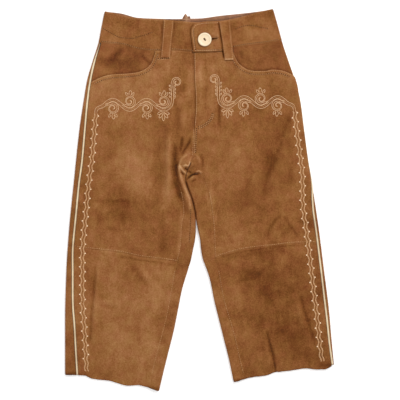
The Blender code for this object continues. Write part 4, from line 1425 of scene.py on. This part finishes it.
# A stitch's rings as (share of its length, share of its radius, rise in radii).
STITCH_RINGS = np.array(
    ((0.0, 0.35, -0.5), (0.12, 0.9, 0.35), (0.5, 1.0, 0.8), (0.88, 0.9, 0.35), (1.0, 0.35, -0.5))
)
STITCH_SIDES = 6
STITCH_THICKNESS = (0.9, 1.1)
STITCH_TONES = 0.07
STITCH_END_SHADE = 0.12

# rise is how far its stitches stand up, as a share of round ones.
Sewn = namedtuple("Sewn", "ground start end radius tone rise", defaults=(1.0,))


def running(path, length, gap, start=0.0):
    """(start, end) places of a row of stitches along a path."""
    first = np.arange(start, measured(path)[-1] - length, length + gap)
    return at_distance(path, first), at_distance(path, first + length)


def row(ground, path, radius, tone, length=2.5, gap=0.8):
    """A row of running stitches."""
    return Sewn(ground, *running(path, length, gap), radius, tone)


def stem(ground, path, radius, tone, length=2.8, pitch=1.7, slant=0.16):
    """Stem stitch: each stitch starts beside the one before it, as in a rope."""
    start, end = running(path, length, pitch - length)
    aside = slant * left_of(unit(end - start))
    return Sewn(ground, start - aside, end + aside, radius, tone)


def across(ground, path, reach, pitch, radius, tone):
    """Short stitches side by side across a path, as in a bar tack or a buttonhole."""
    distances = np.arange(0, measured(path)[-1], pitch)
    left, right = beside(path, reach / 2), beside(path, -reach / 2)
    return Sewn(ground, at_distance(left, distances), at_distance(right, distances), radius, tone)


def thread_piece(name, sewn, material):
    """One joined mesh of all these stitches."""
    points, tones = [], []
    for piece in sewn:
        share, radius, rise = STITCH_RINGS.T
        places = lerp(piece.start[:, None], piece.end[:, None], share[None, :, None])
        height = piece.ground.height(places)
        found = ~np.isnan(height).any(axis=1)
        places, height = places[found], height[found]
        aside = np.pad(left_of(unit(piece.end[found] - piece.start[found])), ((0, 0), (0, 1)))
        thick = piece.radius * VARIED.uniform(*STITCH_THICKNESS, len(aside))
        ring = thick[:, None] * radius
        centre = np.dstack([places, height + piece.rise * thick[:, None] * rise])
        angle = 2 * math.pi * np.arange(STITCH_SIDES) / STITCH_SIDES
        sideways = aside[:, None, None, :] * (ring[..., None] * np.cos(angle))[..., None]
        up = np.array((0, 0, piece.rise)) * (ring[..., None] * np.sin(angle))[..., None]
        points.append((centre[:, :, None, :] + sideways + up).reshape(-1, 3))
        tone = piece.tone + VARIED.uniform(-STITCH_TONES, STITCH_TONES, len(aside))
        shade = tone[:, None] - STITCH_END_SHADE * np.abs(2 * share - 1) ** 3
        tones.append(np.repeat(shade.ravel(), STITCH_SIDES))
    points, tones = np.concatenate(points), np.concatenate(tones)
    rings = len(STITCH_RINGS)
    faces = []
    for first in range(0, len(points), rings * STITCH_SIDES):
        faces += ring_faces(first, rings, STITCH_SIDES)
    return new_object(name, points, faces, tones, [material])


# A knot's rings as (share of its radius, height in radii), from the cloth up.
KNOT_RINGS = ((0.75, -0.3), (1.0, 0.15), (0.85, 0.6), (0.45, 0.9))
KNOT_SIDES = 8
KNOT_SIZES = (0.88, 1.1)
KNOT_TWIST = 4
KNOT_STRANDS = 0.08
KNOT_TONE = 0.96


def knots(name, ground, places, radius, material):
    """French knots: small round beads of wound thread."""
    height = ground.height(places)
    places, height = places[~np.isnan(height)], height[~np.isnan(height)]
    points, faces = [], []
    for (x, y), z in zip(places, height):
        first, size = len(points), radius * VARIED.uniform(*KNOT_SIZES)
        for share, rise in KNOT_RINGS:
            for j in range(KNOT_SIDES):
                angle = 2 * math.pi * (j + KNOT_TWIST * rise) / KNOT_SIDES
                wound = size * share * (1 + KNOT_STRANDS * (j % 2))
                across_x, across_y = wound * math.cos(angle), wound * math.sin(angle)
                points.append((x + across_x, y + across_y, z + size * rise))
        faces += ring_faces(first, len(KNOT_RINGS), KNOT_SIDES)
    return new_object(name, points, faces, np.full(len(points), KNOT_TONE), [material])


# ---- sewing ----

FINE_RADIUS = 0.28
EDGE_RADIUS = 0.3
SEWN_RADIUS = 0.34
FULL_RADIUS = 0.36
LIGHT, MIDDLE, FAINT, DARK = 0.66, 0.56, 0.42, 0.10

# A row pulled tight: its stitches, and dark beads between them that are painted shade
# in the needle holes.
PRICK_LENGTH = 1.5
PRICK_RADIUS = 0.42
HOLE_LENGTH = 1.5
HOLE_RADIUS = 0.58
HOLE_RISE = 0.35

# Pocket mouth: how far below its edge each row is, and the share of the mouth that they follow.
MOUTH_ROWS = (1.2, 4.8, 6.2)
MOUTH_ROW_START = 0.004
MOUTH_ROW_END = 0.985
MOUTH_ROW_POINTS = 160

# Knee seam: its row is on the upper panel.
KNEE_ROW_LEVEL = -90
KNEE_ROW_INSET = 3
KNEE_ROW_END = 196
KNEE_ROW_ABOVE = 2.2

# Rows inside a front's inner edge, from one y to another.
EdgeRow = namedtuple("EdgeRow", "start end inset radius tone")
THIGH_ROW = EdgeRow(12, -92, 1.6, EDGE_RADIUS, MIDDLE)
SHIN_ROW = EdgeRow(-106, -262, 1.6, EDGE_RADIUS, MIDDLE)
FLY_ROW = EdgeRow(220, 110, 1.0, SEWN_RADIUS, LIGHT)
LEFT_CROTCH_ROW = EdgeRow(106, 68, 1.0, SEWN_RADIUS, LIGHT)
RIGHT_CROTCH_ROW = EdgeRow(106, 66, 1.4, SEWN_RADIUS, MIDDLE)
CROTCH_HOLES = (108, 70)
CROTCH_HOLES_INSET = 3.0
INNER_HOLES = ((-13.2, -14), (-13.6, -34), (-14.4, -52), (-15.6, -66))

# The fly's curved row, and from where it is sewn twice and pulled tight.
FLY_CURVE = (
    (25, 219), (24.8, 190), (24.3, 165), (23.4, 145), (22.0, 130), (17.5, 119.5), (9.6, 112),
    (-2, 107),
)
FLY_TURN = 0.72
FLY_SECOND_ROW = 2.6

# Waistband halves: where the rows along its edges start and end, and the dart's arc.
BandRow = namedtuple("BandRow", "side top bottom arc")
BAND_ROWS = (
    BandRow("right", (-140, 6), (-147, 6), (
        (-145, 257), (-139, 254), (-130, 249), (-123, 245), (-110, 242.8), (-97, 242.8),
        (-89, 245.4), (-80, 247.8), (-70, 252.2),
    )),
    BandRow("left", (30, 108), (-6, 119), (
        (54, 256.4), (65, 260.4), (77, 261.9), (89, 259.6), (104, 256.2),
    )),
)
TOP_ROW_BELOW = 2.4
BOTTOM_ROW_ABOVE = 2.2

# The tab's outline, the holes inside its first part and the row at its foot.
TAB_LINE = (
    (-7.2, 225), (-8.2, 234), (-9.4, 244), (-10.2, 251), (-9.6, 256), (-6.6, 260.2), (-1.4, 262.8),
    (5, 264.4), (16, 264.9), (28, 265.4),
)
TAB_HOLES = 66
TAB_HOLES_INSET = 1.4
TAB_FOOT = (-7, 27)
TAB_FOOT_ABOVE = 1.6
TAB_FOOT_RADIUS = 0.42

# The buttonhole's thread: along both sides of the slit where the button leaves it free, and a bar.
SLIT_SEWN = ((SLIT_START[0] + 8, 240.3), SLIT_END)
SLIT_SEWN_BESIDE = 2.1
SLIT_SEWN_REACH = 2.0
SLIT_PITCH = 0.62
SLIT_BAR = ((25.8, 245.4), (27.8, 242.5), (26.1, 239.4))
SLIT_BAR_PITCH = 0.6
SLIT_THREAD_RADIUS = 0.26

# Belt loops: rows along both edges, as shares of the width and (start, end, points) of the length.
LOOP_ROWS = (0.12, 0.88)
LOOP_ROW_SPAN = (0.03, 0.99, 40)
LOOP_THREAD_RADIUS = 0.3
LOOP_STITCH = 2.2
LOOP_STITCH_GAP = 0.7
# A bar over the left loop's foot. The right loop's two rows run on past it on to the front.
FOOT_BAR_SPAN = (0.04, 0.96, 20)
FOOT_BAR_REACH = 2.2
FOOT_BAR_PITCH = 0.9
FOOT_BAR_RADIUS = 0.38
FOOT_ROW = ((-62.4, 211.6), (-53, 212.4), (-43.4, 213.4))
FOOT_ROWS_APART = 1.6


def along_x(start, end, height, step=1.0):
    """A path at height(x) from one x to another."""
    x = np.linspace(start, end, max(LEAST_POINTS, int(abs(end - start) / step)))
    return np.stack([x, height(x)], axis=1)


def along_y(start, end, across_at, step=1.0):
    """A path at across_at(y) from one y to another."""
    y = np.linspace(start, end, max(LEAST_POINTS, int(abs(end - start) / step)))
    return np.stack([across_at(y), y], axis=1)


def mouth_path(side, below):
    """A line below a pocket mouth's edge, from its start at the waist to the side seam."""
    share = np.linspace(side.mouth.at[0] + MOUTH_ROW_START, MOUTH_ROW_END, MOUTH_ROW_POINTS)
    y = side.mouth(share)
    x = section_x(side, y, front_place(side, y, share), False)
    return beside(np.stack([x, y], axis=1), -side.sign * below)


def pricked(ground, path, tone=MIDDLE):
    """A row pulled tight: short stitches, and dark beads of painted shade in the needle holes."""
    stitches = running(path, PRICK_LENGTH, HOLE_LENGTH, HOLE_LENGTH)
    holes = running(path, HOLE_LENGTH, PRICK_LENGTH)
    return [
        Sewn(ground, *holes, HOLE_RADIUS, DARK, HOLE_RISE),
        Sewn(ground, *stitches, PRICK_RADIUS, tone),
    ]


def front_sewing(side):
    """Rows on one front: pocket mouth, knee, inseam and the seam or fly at centre front."""
    upper, lower = Ground(f"front_upper_{side.name}"), Ground(f"front_lower_{side.name}")

    def inside(shift):
        return lambda y: side.edge(y) + side.sign * shift

    def edge_row(ground, given):
        path = along_y(given.start, given.end, inside(given.inset))
        return row(ground, path, given.radius, given.tone)

    first, second, third = [mouth_path(side, below) for below in MOUTH_ROWS]
    knee_start = side.edge(KNEE_ROW_LEVEL) + side.sign * KNEE_ROW_INSET
    knee_end = side.sign * KNEE_ROW_END
    knee = along_x(knee_start, knee_end, lambda x: KNEE_SEAM(x) + KNEE_ROW_ABOVE)
    rows = [
        row(upper, first, SEWN_RADIUS, MIDDLE),
        *pricked(upper, second),
        row(upper, third, FINE_RADIUS, FAINT),
        row(upper, knee, FULL_RADIUS, MIDDLE),
        edge_row(upper, THIGH_ROW),
        edge_row(lower, SHIN_ROW),
    ]
    if side is LEFT:
        curve = smooth_path(*FLY_CURVE)
        tight = curve[int(len(curve) * FLY_TURN):]
        rows += [
            edge_row(upper, FLY_ROW),
            row(upper, curve, FINE_RADIUS, FAINT),
            *pricked(upper, tight, LIGHT),
            *pricked(upper, beside(tight, -FLY_SECOND_ROW), LIGHT),
            edge_row(upper, LEFT_CROTCH_ROW),
            *pricked(upper, along_y(*CROTCH_HOLES, inside(CROTCH_HOLES_INSET))),
        ]
    else:
        strip = Ground("back_upper_right")
        rows += [
            edge_row(upper, RIGHT_CROTCH_ROW),
            *pricked(strip, smooth_path(*INNER_HOLES), FAINT),
        ]
    return rows


def waist_sewing():
    """Rows on the waistband: both edges, the tab's outline and the darts' arcs."""
    rows = []
    for given in BAND_ROWS:
        band = Ground(f"waistband_{given.side}")
        top = along_x(*given.top, lambda x: FRONT_TOP(x) - TOP_ROW_BELOW)
        bottom = along_x(*given.bottom, lambda x: WAIST_SEAM(x) + BOTTOM_ROW_ABOVE)
        rows += [
            row(band, top, FINE_RADIUS, FAINT),
            *pricked(band, bottom),
            *pricked(band, smooth_path(*given.arc), FAINT),
        ]
    tab = smooth_path(*TAB_LINE)
    tab_foot = along_x(*TAB_FOOT, lambda x: WAIST_SEAM(x) + TAB_FOOT_ABOVE)
    slit = smooth_path(*SLIT_SEWN)
    rows += [
        row(band, tab, FULL_RADIUS, LIGHT),
        *pricked(band, tab[:TAB_HOLES] + (TAB_HOLES_INSET, 0)),
        row(band, tab_foot, TAB_FOOT_RADIUS, LIGHT),
    ]
    for path, pitch in (
        (beside(slit, SLIT_SEWN_BESIDE), SLIT_PITCH),
        (beside(slit, -SLIT_SEWN_BESIDE), SLIT_PITCH),
        (smooth_path(*SLIT_BAR), SLIT_BAR_PITCH),
    ):
        rows.append(across(band, path, SLIT_SEWN_REACH, pitch, SLIT_THREAD_RADIUS, FAINT))
    return rows


def loop_sewing():
    """Both long edges of each belt loop, and the rows over their feet."""
    rows = []
    for loop in LOOPS:
        ground = Ground(f"belt_loop_{loop.side.name}")
        foot_left, foot_right = np.array(loop.foot_left), np.array(loop.foot_right)
        for share in LOOP_ROWS:
            top = lerp(np.array(loop.top_left), np.array(loop.top_right), share)
            foot = lerp(foot_left, foot_right, share)
            path = lerp(top, foot, np.linspace(*LOOP_ROW_SPAN)[:, None])
            rows.append(row(ground, path, LOOP_THREAD_RADIUS, MIDDLE, LOOP_STITCH, LOOP_STITCH_GAP))
    bar = lerp(foot_left, foot_right, np.linspace(*FOOT_BAR_SPAN)[:, None]) + (0, FOOT_ROWS_APART)
    rows.append(across(ground, bar, FOOT_BAR_REACH, FOOT_BAR_PITCH, FOOT_BAR_RADIUS, LIGHT))
    over_foot = Ground("belt_loop_right", "front_upper_right", "pocket_facing_right")
    foot_row = smooth_path(*FOOT_ROW)
    rows += pricked(over_foot, foot_row)
    rows.append(row(over_foot, foot_row - (0, FOOT_ROWS_APART), SEWN_RADIUS, MIDDLE))
    return rows


# ---- embroidery, a running scroll worked out from the front's seams ----

STITCHED_RADIUS = 0.32
EMBROIDERED = 0.78
VEIN_TONE = 0.52
VEIN_LEAST_GAP = 3.3
SPIRAL_EYE = 1.0
SPIRAL_FULLNESS = 1.6
SPIRAL_POINTS = 10
WAVE_LENGTH = 13.8
WAVE_HEIGHT = 1.0
KNOT_OUT = 4.1
KNOT_RADIUS = 1.08

# The vine's wavy strands, side by side.
Strand = namedtuple("Strand", "aside radius tone")
STRANDS = (
    Strand(-2.4, 0.38, 0.72),
    Strand(-1.4, 0.40, 0.60),
    Strand(1.4, 0.40, 0.60),
    Strand(2.4, 0.38, 0.72),
)
# The vine runs beside the side seam, from below the scroll's level to above the hem.
VINE_INSET = 14.5
VINE_BELOW_LEVEL = 13
VINE_ABOVE_HEM = 4
VINE_STEP = 0.7

# The scroll is drawn as (distance out from centre front, height over its level). Its level lies
# below the middle of the pocket mouth.
CENTRE_FRONT = -6.1
MOUTH_MIDDLE = 0.7
BELOW_MOUTH = 46.5

# The stem: even half waves from the vine in to its turn, a quarter circle up, and a curled finial.
STEM_TURN = 48
STEM_SWING = 7.5
STEM_HALF_WAVES = 4
STEM_JOINS = 3.55
STEM_POINTS = 24
STEM_LEAN = 1.2
TURN_ANGLES = (30, 60, 90)
TURN_RADIUS = 13.5
FINIAL_RISE = 34
FINIAL_RADIUS = 6.5
FINIAL_TURNS = 1.3
STEM_GAPS = (2.9, 4.8, 4.4, 4.6, 4.4, 4.4, 4.2, 3.8, 3.4, 3.0, 2.6, 1.6, 0.5)

# A volute with a pair of leaves fills the hollow of each half wave.
VOLUTE_RADIUS = 8.2
VOLUTE_CLEAR = 4.4
VOLUTE_START = 50
VOLUTE_TURNS = 1.65
# Where it leaves the stem, as (out, up) from the middle of its half wave.
VOLUTE_TAIL = ((11, 0.8), (7.8, -0.9))
VOLUTE_GAPS = (2.8, 2.8, 2.4, 2.0, 1.4, 0.9, 0.5)

# Leaves as (base across, base up, tip across, tip up, width) from what carries them.
Leaf = namedtuple("Leaf", "base_x base_y tip_x tip_y width")
VOLUTE_LEAVES = (
    Leaf(-0.6, 0.0, -1.4, 8.6, 4.4),
    Leaf(-3.2, -0.8, -6.6, 5.6, 3.2),
    Leaf(2.6, -0.6, 6.2, 5.8, 3.2),
)
EAR_LEAVES = (
    Leaf(1.8, 0, 5, 5.2, 2.2),
    Leaf(-1.8, 0, -5, 5.2, 2.2),
)
# A leaf is widest at this share of its length, and its second side ends a little past its base.
LEAF_WIDEST = 0.4
LEAF_END = 0.08
EARS = 4
EAR_FIRST = 9
EAR_PITCH = 5.4

# The fan of leaves under the stem's turn, as (angle, length).
FAN = ((-158, 10), (-124, 12), (-90, 14.5), (-56, 12), (-22, 10))
FAN_WIDTH = 4
FAN_BASE = 2.8


def curled(tail, centre, radius, start, turns):
    """A smooth path through the tail's points and on into a spiral."""
    share = np.linspace(0, 1, int(abs(turns) * SPIRAL_POINTS))
    angle = np.radians(start) + 2 * math.pi * turns * share
    reach = lerp(radius, SPIRAL_EYE, share**SPIRAL_FULLNESS)
    wound = zip(centre[0] + reach * np.cos(angle), centre[1] + reach * np.sin(angle))
    return smooth_path(*tail, *wound)


def leaf(base, tip, width):
    """The two sides of a leaf, from its base round its tip and back."""
    base, tip = np.array(base), np.array(tip)
    along = tip - base
    aside = left_of(unit(along)) * width / 2
    widest = base + LEAF_WIDEST * along
    return smooth_path(base, widest + aside, tip, widest - aside, base + LEAF_END * along)


def leaves_at(x, y, up, table):
    """A table's leaves on what is at (x, y), pointing up or, where up is -1, down."""
    shapes = []
    for given in table:
        base = (x + given.base_x, y + up * given.base_y)
        tip = (x + given.tip_x, y + up * given.tip_y)
        shapes.append(leaf(base, tip, given.width))
    return shapes


def scroll_level(side):
    """The height of the scroll's own zero line."""
    return side.mouth(MOUTH_MIDDLE) - BELOW_MOUTH


def vine_middle(side):
    """The vine's middle line, at an even distance from the side seam."""
    top = scroll_level(side) - VINE_BELOW_LEVEL
    bottom = HEM(side.outer(HEM_NOMINAL)) + VINE_ABOVE_HEM

    def inside_seam(y):
        return section_x(side, y, seam_place(side, y) - VINE_INSET, False)

    return along_y(top, bottom, inside_seam, VINE_STEP)


def half_wave(reach):
    """The length of one of the stem's half waves, where the vine is at this distance out."""
    return (reach - STEM_TURN) / STEM_HALF_WAVES


def stem_path(reach):
    """The stem's middle, from the vine to the finial's eye."""
    waves = np.linspace(STEM_JOINS, 0, STEM_POINTS)
    across = STEM_TURN + half_wave(reach) * waves
    up = -STEM_SWING * np.cos(math.pi * waves)
    angle = np.radians(TURN_ANGLES)
    turn_x = STEM_TURN - TURN_RADIUS * np.sin(angle)
    turn_y = TURN_RADIUS * (1 - np.cos(angle)) - STEM_SWING
    rise = STEM_TURN - TURN_RADIUS
    tail = [
        (reach, -VINE_BELOW_LEVEL),
        (reach - STEM_LEAN, -VINE_BELOW_LEVEL / 2),
        *zip(across, up),
        *zip(turn_x, turn_y),
        (rise, FINIAL_RISE / 2),
    ]
    return curled(tail, (rise - FINIAL_RADIUS, FINIAL_RISE), FINIAL_RADIUS, 0, FINIAL_TURNS)


def volutes(reach):
    """The volute in each half wave's hollow, below a crest or above a trough, and its leaves."""
    paths, shapes = [], []
    for k in range(STEM_HALF_WAVES):
        up = 1 if k % 2 == 0 else -1
        x = STEM_TURN + k * half_wave(reach)
        y = up * (VOLUTE_CLEAR + VOLUTE_RADIUS - STEM_SWING)
        tail = [(x + out, up * rise) for out, rise in VOLUTE_TAIL]
        paths.append(curled(tail, (x, y), VOLUTE_RADIUS, -VOLUTE_START * up, -VOLUTE_TURNS * up))
        shapes += leaves_at(x, y + up * VOLUTE_RADIUS, up, VOLUTE_LEAVES)
    return paths, shapes


def ears_and_fan():
    """Leaves up both sides of the rising stem, and the fan under its turn."""
    rise = STEM_TURN - TURN_RADIUS
    shapes = []
    for i in range(EARS):
        shapes += leaves_at(rise, EAR_FIRST + i * EAR_PITCH, 1, EAR_LEAVES)
    base = np.array((STEM_TURN, -STEM_SWING - FAN_BASE))
    for angle, length in FAN:
        along = np.array((math.cos(math.radians(angle)), math.sin(math.radians(angle))))
        shapes.append(leaf(base + along, base + length * along, FAN_WIDTH))
    return shapes


def placed(side, path):
    """A path of the scroll's, out from centre front on this side and up from the scroll's level."""
    return path * (side.sign, 1) + (CENTRE_FRONT, scroll_level(side))


def vine(middle, ground):
    """Wavy strands down the leg, and the places of the knots beside their crests."""
    wave = WAVE_HEIGHT * np.sin(2 * math.pi * measured(middle) / WAVE_LENGTH)
    sewn = [stem(ground, beside(middle, wave + s.aside), s.radius, s.tone) for s in STRANDS]
    count = int(measured(middle)[-1] / WAVE_LENGTH - 0.5)
    crests = (np.arange(count) + 0.25) * WAVE_LENGTH
    return sewn, np.concatenate([
        at_distance(beside(middle, KNOT_OUT), crests),
        at_distance(beside(middle, -KNOT_OUT), crests + WAVE_LENGTH / 2),
    ])


def scrolls(side, reach, ground):
    """The stem's and volutes' two outlines, veins where they are wide, and the leaves."""
    paths, shapes = volutes(reach)
    banded = [(stem_path(reach), STEM_GAPS)] + [(path, VOLUTE_GAPS) for path in paths]
    lines = [placed(side, shape) for shape in shapes + ears_and_fan()]
    veins = []
    for path, gaps in banded:
        path = placed(side, path)
        share, steps = np.linspace(0, 1, len(path)), np.linspace(0, 1, len(gaps))
        half = np.interp(share, steps, gaps) / 2
        lines += [beside(path, half), beside(path, -half)]
        if max(gaps) > VEIN_LEAST_GAP:
            veins.append(path[half > VEIN_LEAST_GAP / 2])
    sewn = [stem(ground, line, STITCHED_RADIUS, EMBROIDERED) for line in lines]
    return sewn + [stem(ground, vein, STITCHED_RADIUS, VEIN_TONE) for vein in veins]


def embroidery(side, material):
    """One leg's scroll and vine, and the knots beside the vine."""
    ground = Ground(f"front_upper_{side.name}", f"front_lower_{side.name}")
    middle = vine_middle(side)
    reach = side.sign * (middle[0, 0] - CENTRE_FRONT)
    strands, knot_places = vine(middle, ground)
    return [
        thread_piece(f"embroidery_{side.name}", scrolls(side, reach, ground) + strands, material),
        knots(f"embroidery_knots_{side.name}", ground, knot_places, KNOT_RADIUS, material),
    ]


# ---- button ----

# The turned profile, as shares of BUTTON_RADIUS and of half the thickness.
BUTTON_PROFILE = (
    (0.55, -1.0), (0.80, -0.97), (0.91, -0.78), (0.965, -0.45), (0.99, -0.05), (1.0, 0.25),
    (0.985, 0.62), (0.945, 0.88), (0.90, 0.98), (0.85, 1.0), (0.80, 0.92), (0.76, 0.74),
    (0.71, 0.55), (0.64, 0.44), (0.50, 0.38), (0.25, 0.35),
)
BUTTON_SIDES = 72
BUTTON_TONE = 0.56
# The raised rim has a painted highlight, and the outer edge painted shade.
RIM_HIGHLIGHT = 0.12
RIM_FROM = (0.70, 0.86)
EDGE_SHADE = 0.14
EDGE_FROM = (0.9, 1.0)

DRILL_SIDES = 20
DRILL_REACH = 4
DRILL_TONE = 0.3

BUTTON_THREAD_RADIUS = 0.3
BUTTON_THREAD_TONE = 0.05
BUTTON_THREAD_PAST_HOLE = 0.3
BUTTON_THREAD_APART = 0.16


def button(material):
    """The horn button: a turned disc with a raised rim and a dished face, drilled twice."""
    half = BUTTON_THICKNESS / 2
    level = HIP_HEIGHT + TAB_RAISE + SEAM_GAP + BUTTON_SEAT + half
    points, tone = [], []
    for share, rise in BUTTON_PROFILE:
        ring = circle(BUTTON_X, BUTTON_Y, share * BUTTON_RADIUS, BUTTON_SIDES)
        points += [(x, y, level + rise * half) for x, y in ring]
        # Painted highlight on the raised rim and painted shade round the outer edge.
        rim = RIM_HIGHLIGHT * ease(*RIM_FROM, share) - EDGE_SHADE * ease(*EDGE_FROM, share)
        tone += [BUTTON_TONE + rim] * BUTTON_SIDES
    faces = ring_faces(0, len(BUTTON_PROFILE), BUTTON_SIDES)
    obj = new_object("button_turned", points, faces, tone, [material])
    for number, reach in enumerate((-BUTTON_HOLE_SPREAD, BUTTON_HOLE_SPREAD)):
        drill(obj, number, reach, level)
    applied(obj)
    obj["node"] = "button"
    return obj, level + BUTTON_PROFILE[-1][1] * half


def drill(obj, number, reach, level):
    """Cuts one thread hole with a hidden round tool."""
    x = BUTTON_X + reach * math.cos(BUTTON_HOLE_ANGLE)
    y = BUTTON_Y + reach * math.sin(BUTTON_HOLE_ANGLE)
    ring = circle(x, y, BUTTON_HOLE_RADIUS, DRILL_SIDES)
    points = [(a, b, level + z) for z in (-DRILL_REACH, DRILL_REACH) for a, b in ring]
    faces = ring_faces(0, 2, DRILL_SIDES)
    tone = [DRILL_TONE] * len(points)
    tool = new_object(f"drill_{number}", points, faces, tone, [], smooth=False)
    cut = obj.modifiers.new(tool.name, "BOOLEAN")
    cut.object = tool
    cut.operation = "DIFFERENCE"
    tool.hide_render = True


def applied(obj):
    """Makes an object's modifiers part of its mesh, and removes the tools that they used."""
    tools = [modifier.object for modifier in obj.modifiers]
    graph = bpy.context.evaluated_depsgraph_get()
    mesh = bpy.data.meshes.new_from_object(obj.evaluated_get(graph))
    obj.modifiers.clear()
    obj.data = mesh
    for tool in tools:
        bpy.data.objects.remove(tool)


def button_thread(level, material):
    """Dark thread through the two holes, over the bridge between them."""
    along = np.array((math.cos(BUTTON_HOLE_ANGLE), math.sin(BUTTON_HOLE_ANGLE)))
    reach = along * (BUTTON_HOLE_SPREAD + BUTTON_THREAD_PAST_HOLE)
    aside = left_of(reach) * BUTTON_THREAD_APART
    strands = np.array((BUTTON_X, BUTTON_Y)) + aside * np.array((-1, 0, 1))[:, None]
    sewn = Sewn(
        Level(level), strands - reach, strands + reach, BUTTON_THREAD_RADIUS, BUTTON_THREAD_TONE,
    )
    return thread_piece("button_thread", [sewn], material)


# ---- declaring the pieces ----

# What each sheet is cut to, flat, in metres and square metres.
Cut = namedtuple("Cut", "width length area")
CUTS = {
    "front_upper": Cut(0.175, 0.325, 0.047),
    "front_lower": Cut(0.155, 0.215, 0.024),
    "back_upper": Cut(0.215, 0.330, 0.056),
    "back_lower": Cut(0.200, 0.215, 0.034),
    "waistband": Cut(0.290, 0.060, 0.0145),
    "pocket_facing": Cut(0.095, 0.060, 0.0040),
    "piping": Cut(0.010, 0.500, 0.0025),
    "belt_loop": Cut(0.016, 0.065, 0.0009),
}


def declare(obj, slot, cut, rests_on):
    """Puts a piece on the root body and hides its imported part; slot and cut are not used."""
    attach(obj, "root")
    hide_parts(obj["node"])
    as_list(rests_on)


FLOOR_HALF = 3000
FLOOR_LEVEL = -0.6
FLOOR_GLOW = 0.25
FLOOR_CLOUD_SIZE = 400
SKY_STRENGTH = 0.80
KEY_PLACE = (1.0, 1.5, 2.4)
KEY_SIZE = 1.0
KEY_WATTS = 40
VIEW_CENTRE = (0.00075, 0.0)
VIEW_HEIGHT = 2.004
VIEW_LENS = 120
VIEW_SENSOR = 36


def floor():
    """A wide pale floor, just under the underside."""
    ends = (-FLOOR_HALF, FLOOR_HALF)
    corners = [(x, y, FLOOR_LEVEL) for y in ends for x in ends]
    finish = Finish("floor", 0.9, Emission_Color=(1, 1, 1, 1), Emission_Strength=FLOOR_GLOW)
    finish.colour(finish.ramp(finish.noise(FLOOR_CLOUD_SIZE, 2), *FLOOR_STOPS))
    tone = [MIDDLE_TONE] * len(corners)
    return new_object("floor", corners, [(0, 1, 3, 2)], tone, [finish.material])


def stage_and_light():
    """The floor, soft light from the upper right and all round, and the camera straight above."""
    scene = bpy.context.scene
    floor()

    world = bpy.data.worlds.new("studio")
    world.use_nodes = True
    background = world.node_tree.nodes["Background"]
    background.inputs["Color"].default_value = (1.0, 1.0, 1.0, 1)
    background.inputs["Strength"].default_value = SKY_STRENGTH
    scene.world = world

    light = bpy.data.lights.new("key", "AREA")
    light.shape = "SQUARE"
    light.size = KEY_SIZE
    light.energy = KEY_WATTS
    lamp = bpy.data.objects.new("key", light)
    lamp.location = KEY_PLACE
    lamp.rotation_mode = "QUATERNION"
    lamp.rotation_quaternion = (-Vector(KEY_PLACE)).to_track_quat("-Z", "Y")
    scene.collection.objects.link(lamp)

    camera_data = bpy.data.cameras.new("camera")
    camera_data.lens = VIEW_LENS
    camera_data.sensor_width = VIEW_SENSOR
    camera = bpy.data.objects.new("camera", camera_data)
    camera.location = (*VIEW_CENTRE, VIEW_HEIGHT)
    scene.collection.objects.link(camera)
    scene.camera = camera
    scene.view_settings.view_transform = "Standard"


def main():
    """Makes, places and declares every piece, from the leather up to the thread."""
    flesh = suede("suede_flesh_side", FLESH_STOPS)
    body = [suede("suede", SUEDE_STOPS), flesh]
    facing = [suede("suede_facing", FACING_STOPS), flesh]
    cord = [cream_cord()]
    for side in (RIGHT, LEFT):
        under = [f"back_upper_{side.name}"]
        upper_ends = (WAIST_NOMINAL, KNEE_NOMINAL)
        lower_ends = (KNEE_NOMINAL, HEM_NOMINAL)
        made = (
            (back(side, "back_upper", upper_ends, UPPER_LENGTH, below_back_waist, above_knee,
                  SEAM, body), "back_upper", "suede", ["floor"]),
            (back(side, "back_lower", lower_ends, LOWER_LENGTH, below_knee, at_hem,
                  RAW, body), "back_lower", "suede", ["floor"]),
            (front_upper(side, body), "front_upper", "suede", under),
            (front_lower(side, body), "front_lower", "suede", [f"back_lower_{side.name}"]),
            (pocket_facing(side, facing), "pocket_facing", "suede_facing", under),
            (piping(side, cord), "piping", "piping", under),
            (waistband(side, body), "waistband", "suede", ["floor"]),
        )
        for obj, kind, slot, rests_on in made:
            declare(obj, slot, CUTS[kind], rests_on)
    for loop in LOOPS:
        band = f"waistband_{loop.side.name}"
        declare(belt_loop(loop, body), "suede", CUTS["belt_loop"], [band])
    declare(back_belt_loop([flesh]), "suede", CUTS["belt_loop"], ["floor"])
    disc, top = button(horn())
    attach(disc, "root")
    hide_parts("button")
    sewing_thread = thread()
    threads = [button_thread(top, sewing_thread)]
    for side in (RIGHT, LEFT):
        threads.append(thread_piece(f"stitching_{side.name}", front_sewing(side), sewing_thread))
        threads += embroidery(side, sewing_thread)
    threads.append(thread_piece("stitching_waist", waist_sewing(), sewing_thread))
    threads.append(thread_piece("stitching_loops", loop_sewing(), sewing_thread))
    for obj in threads:
        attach(obj, "root")
    stage_and_light()


main()
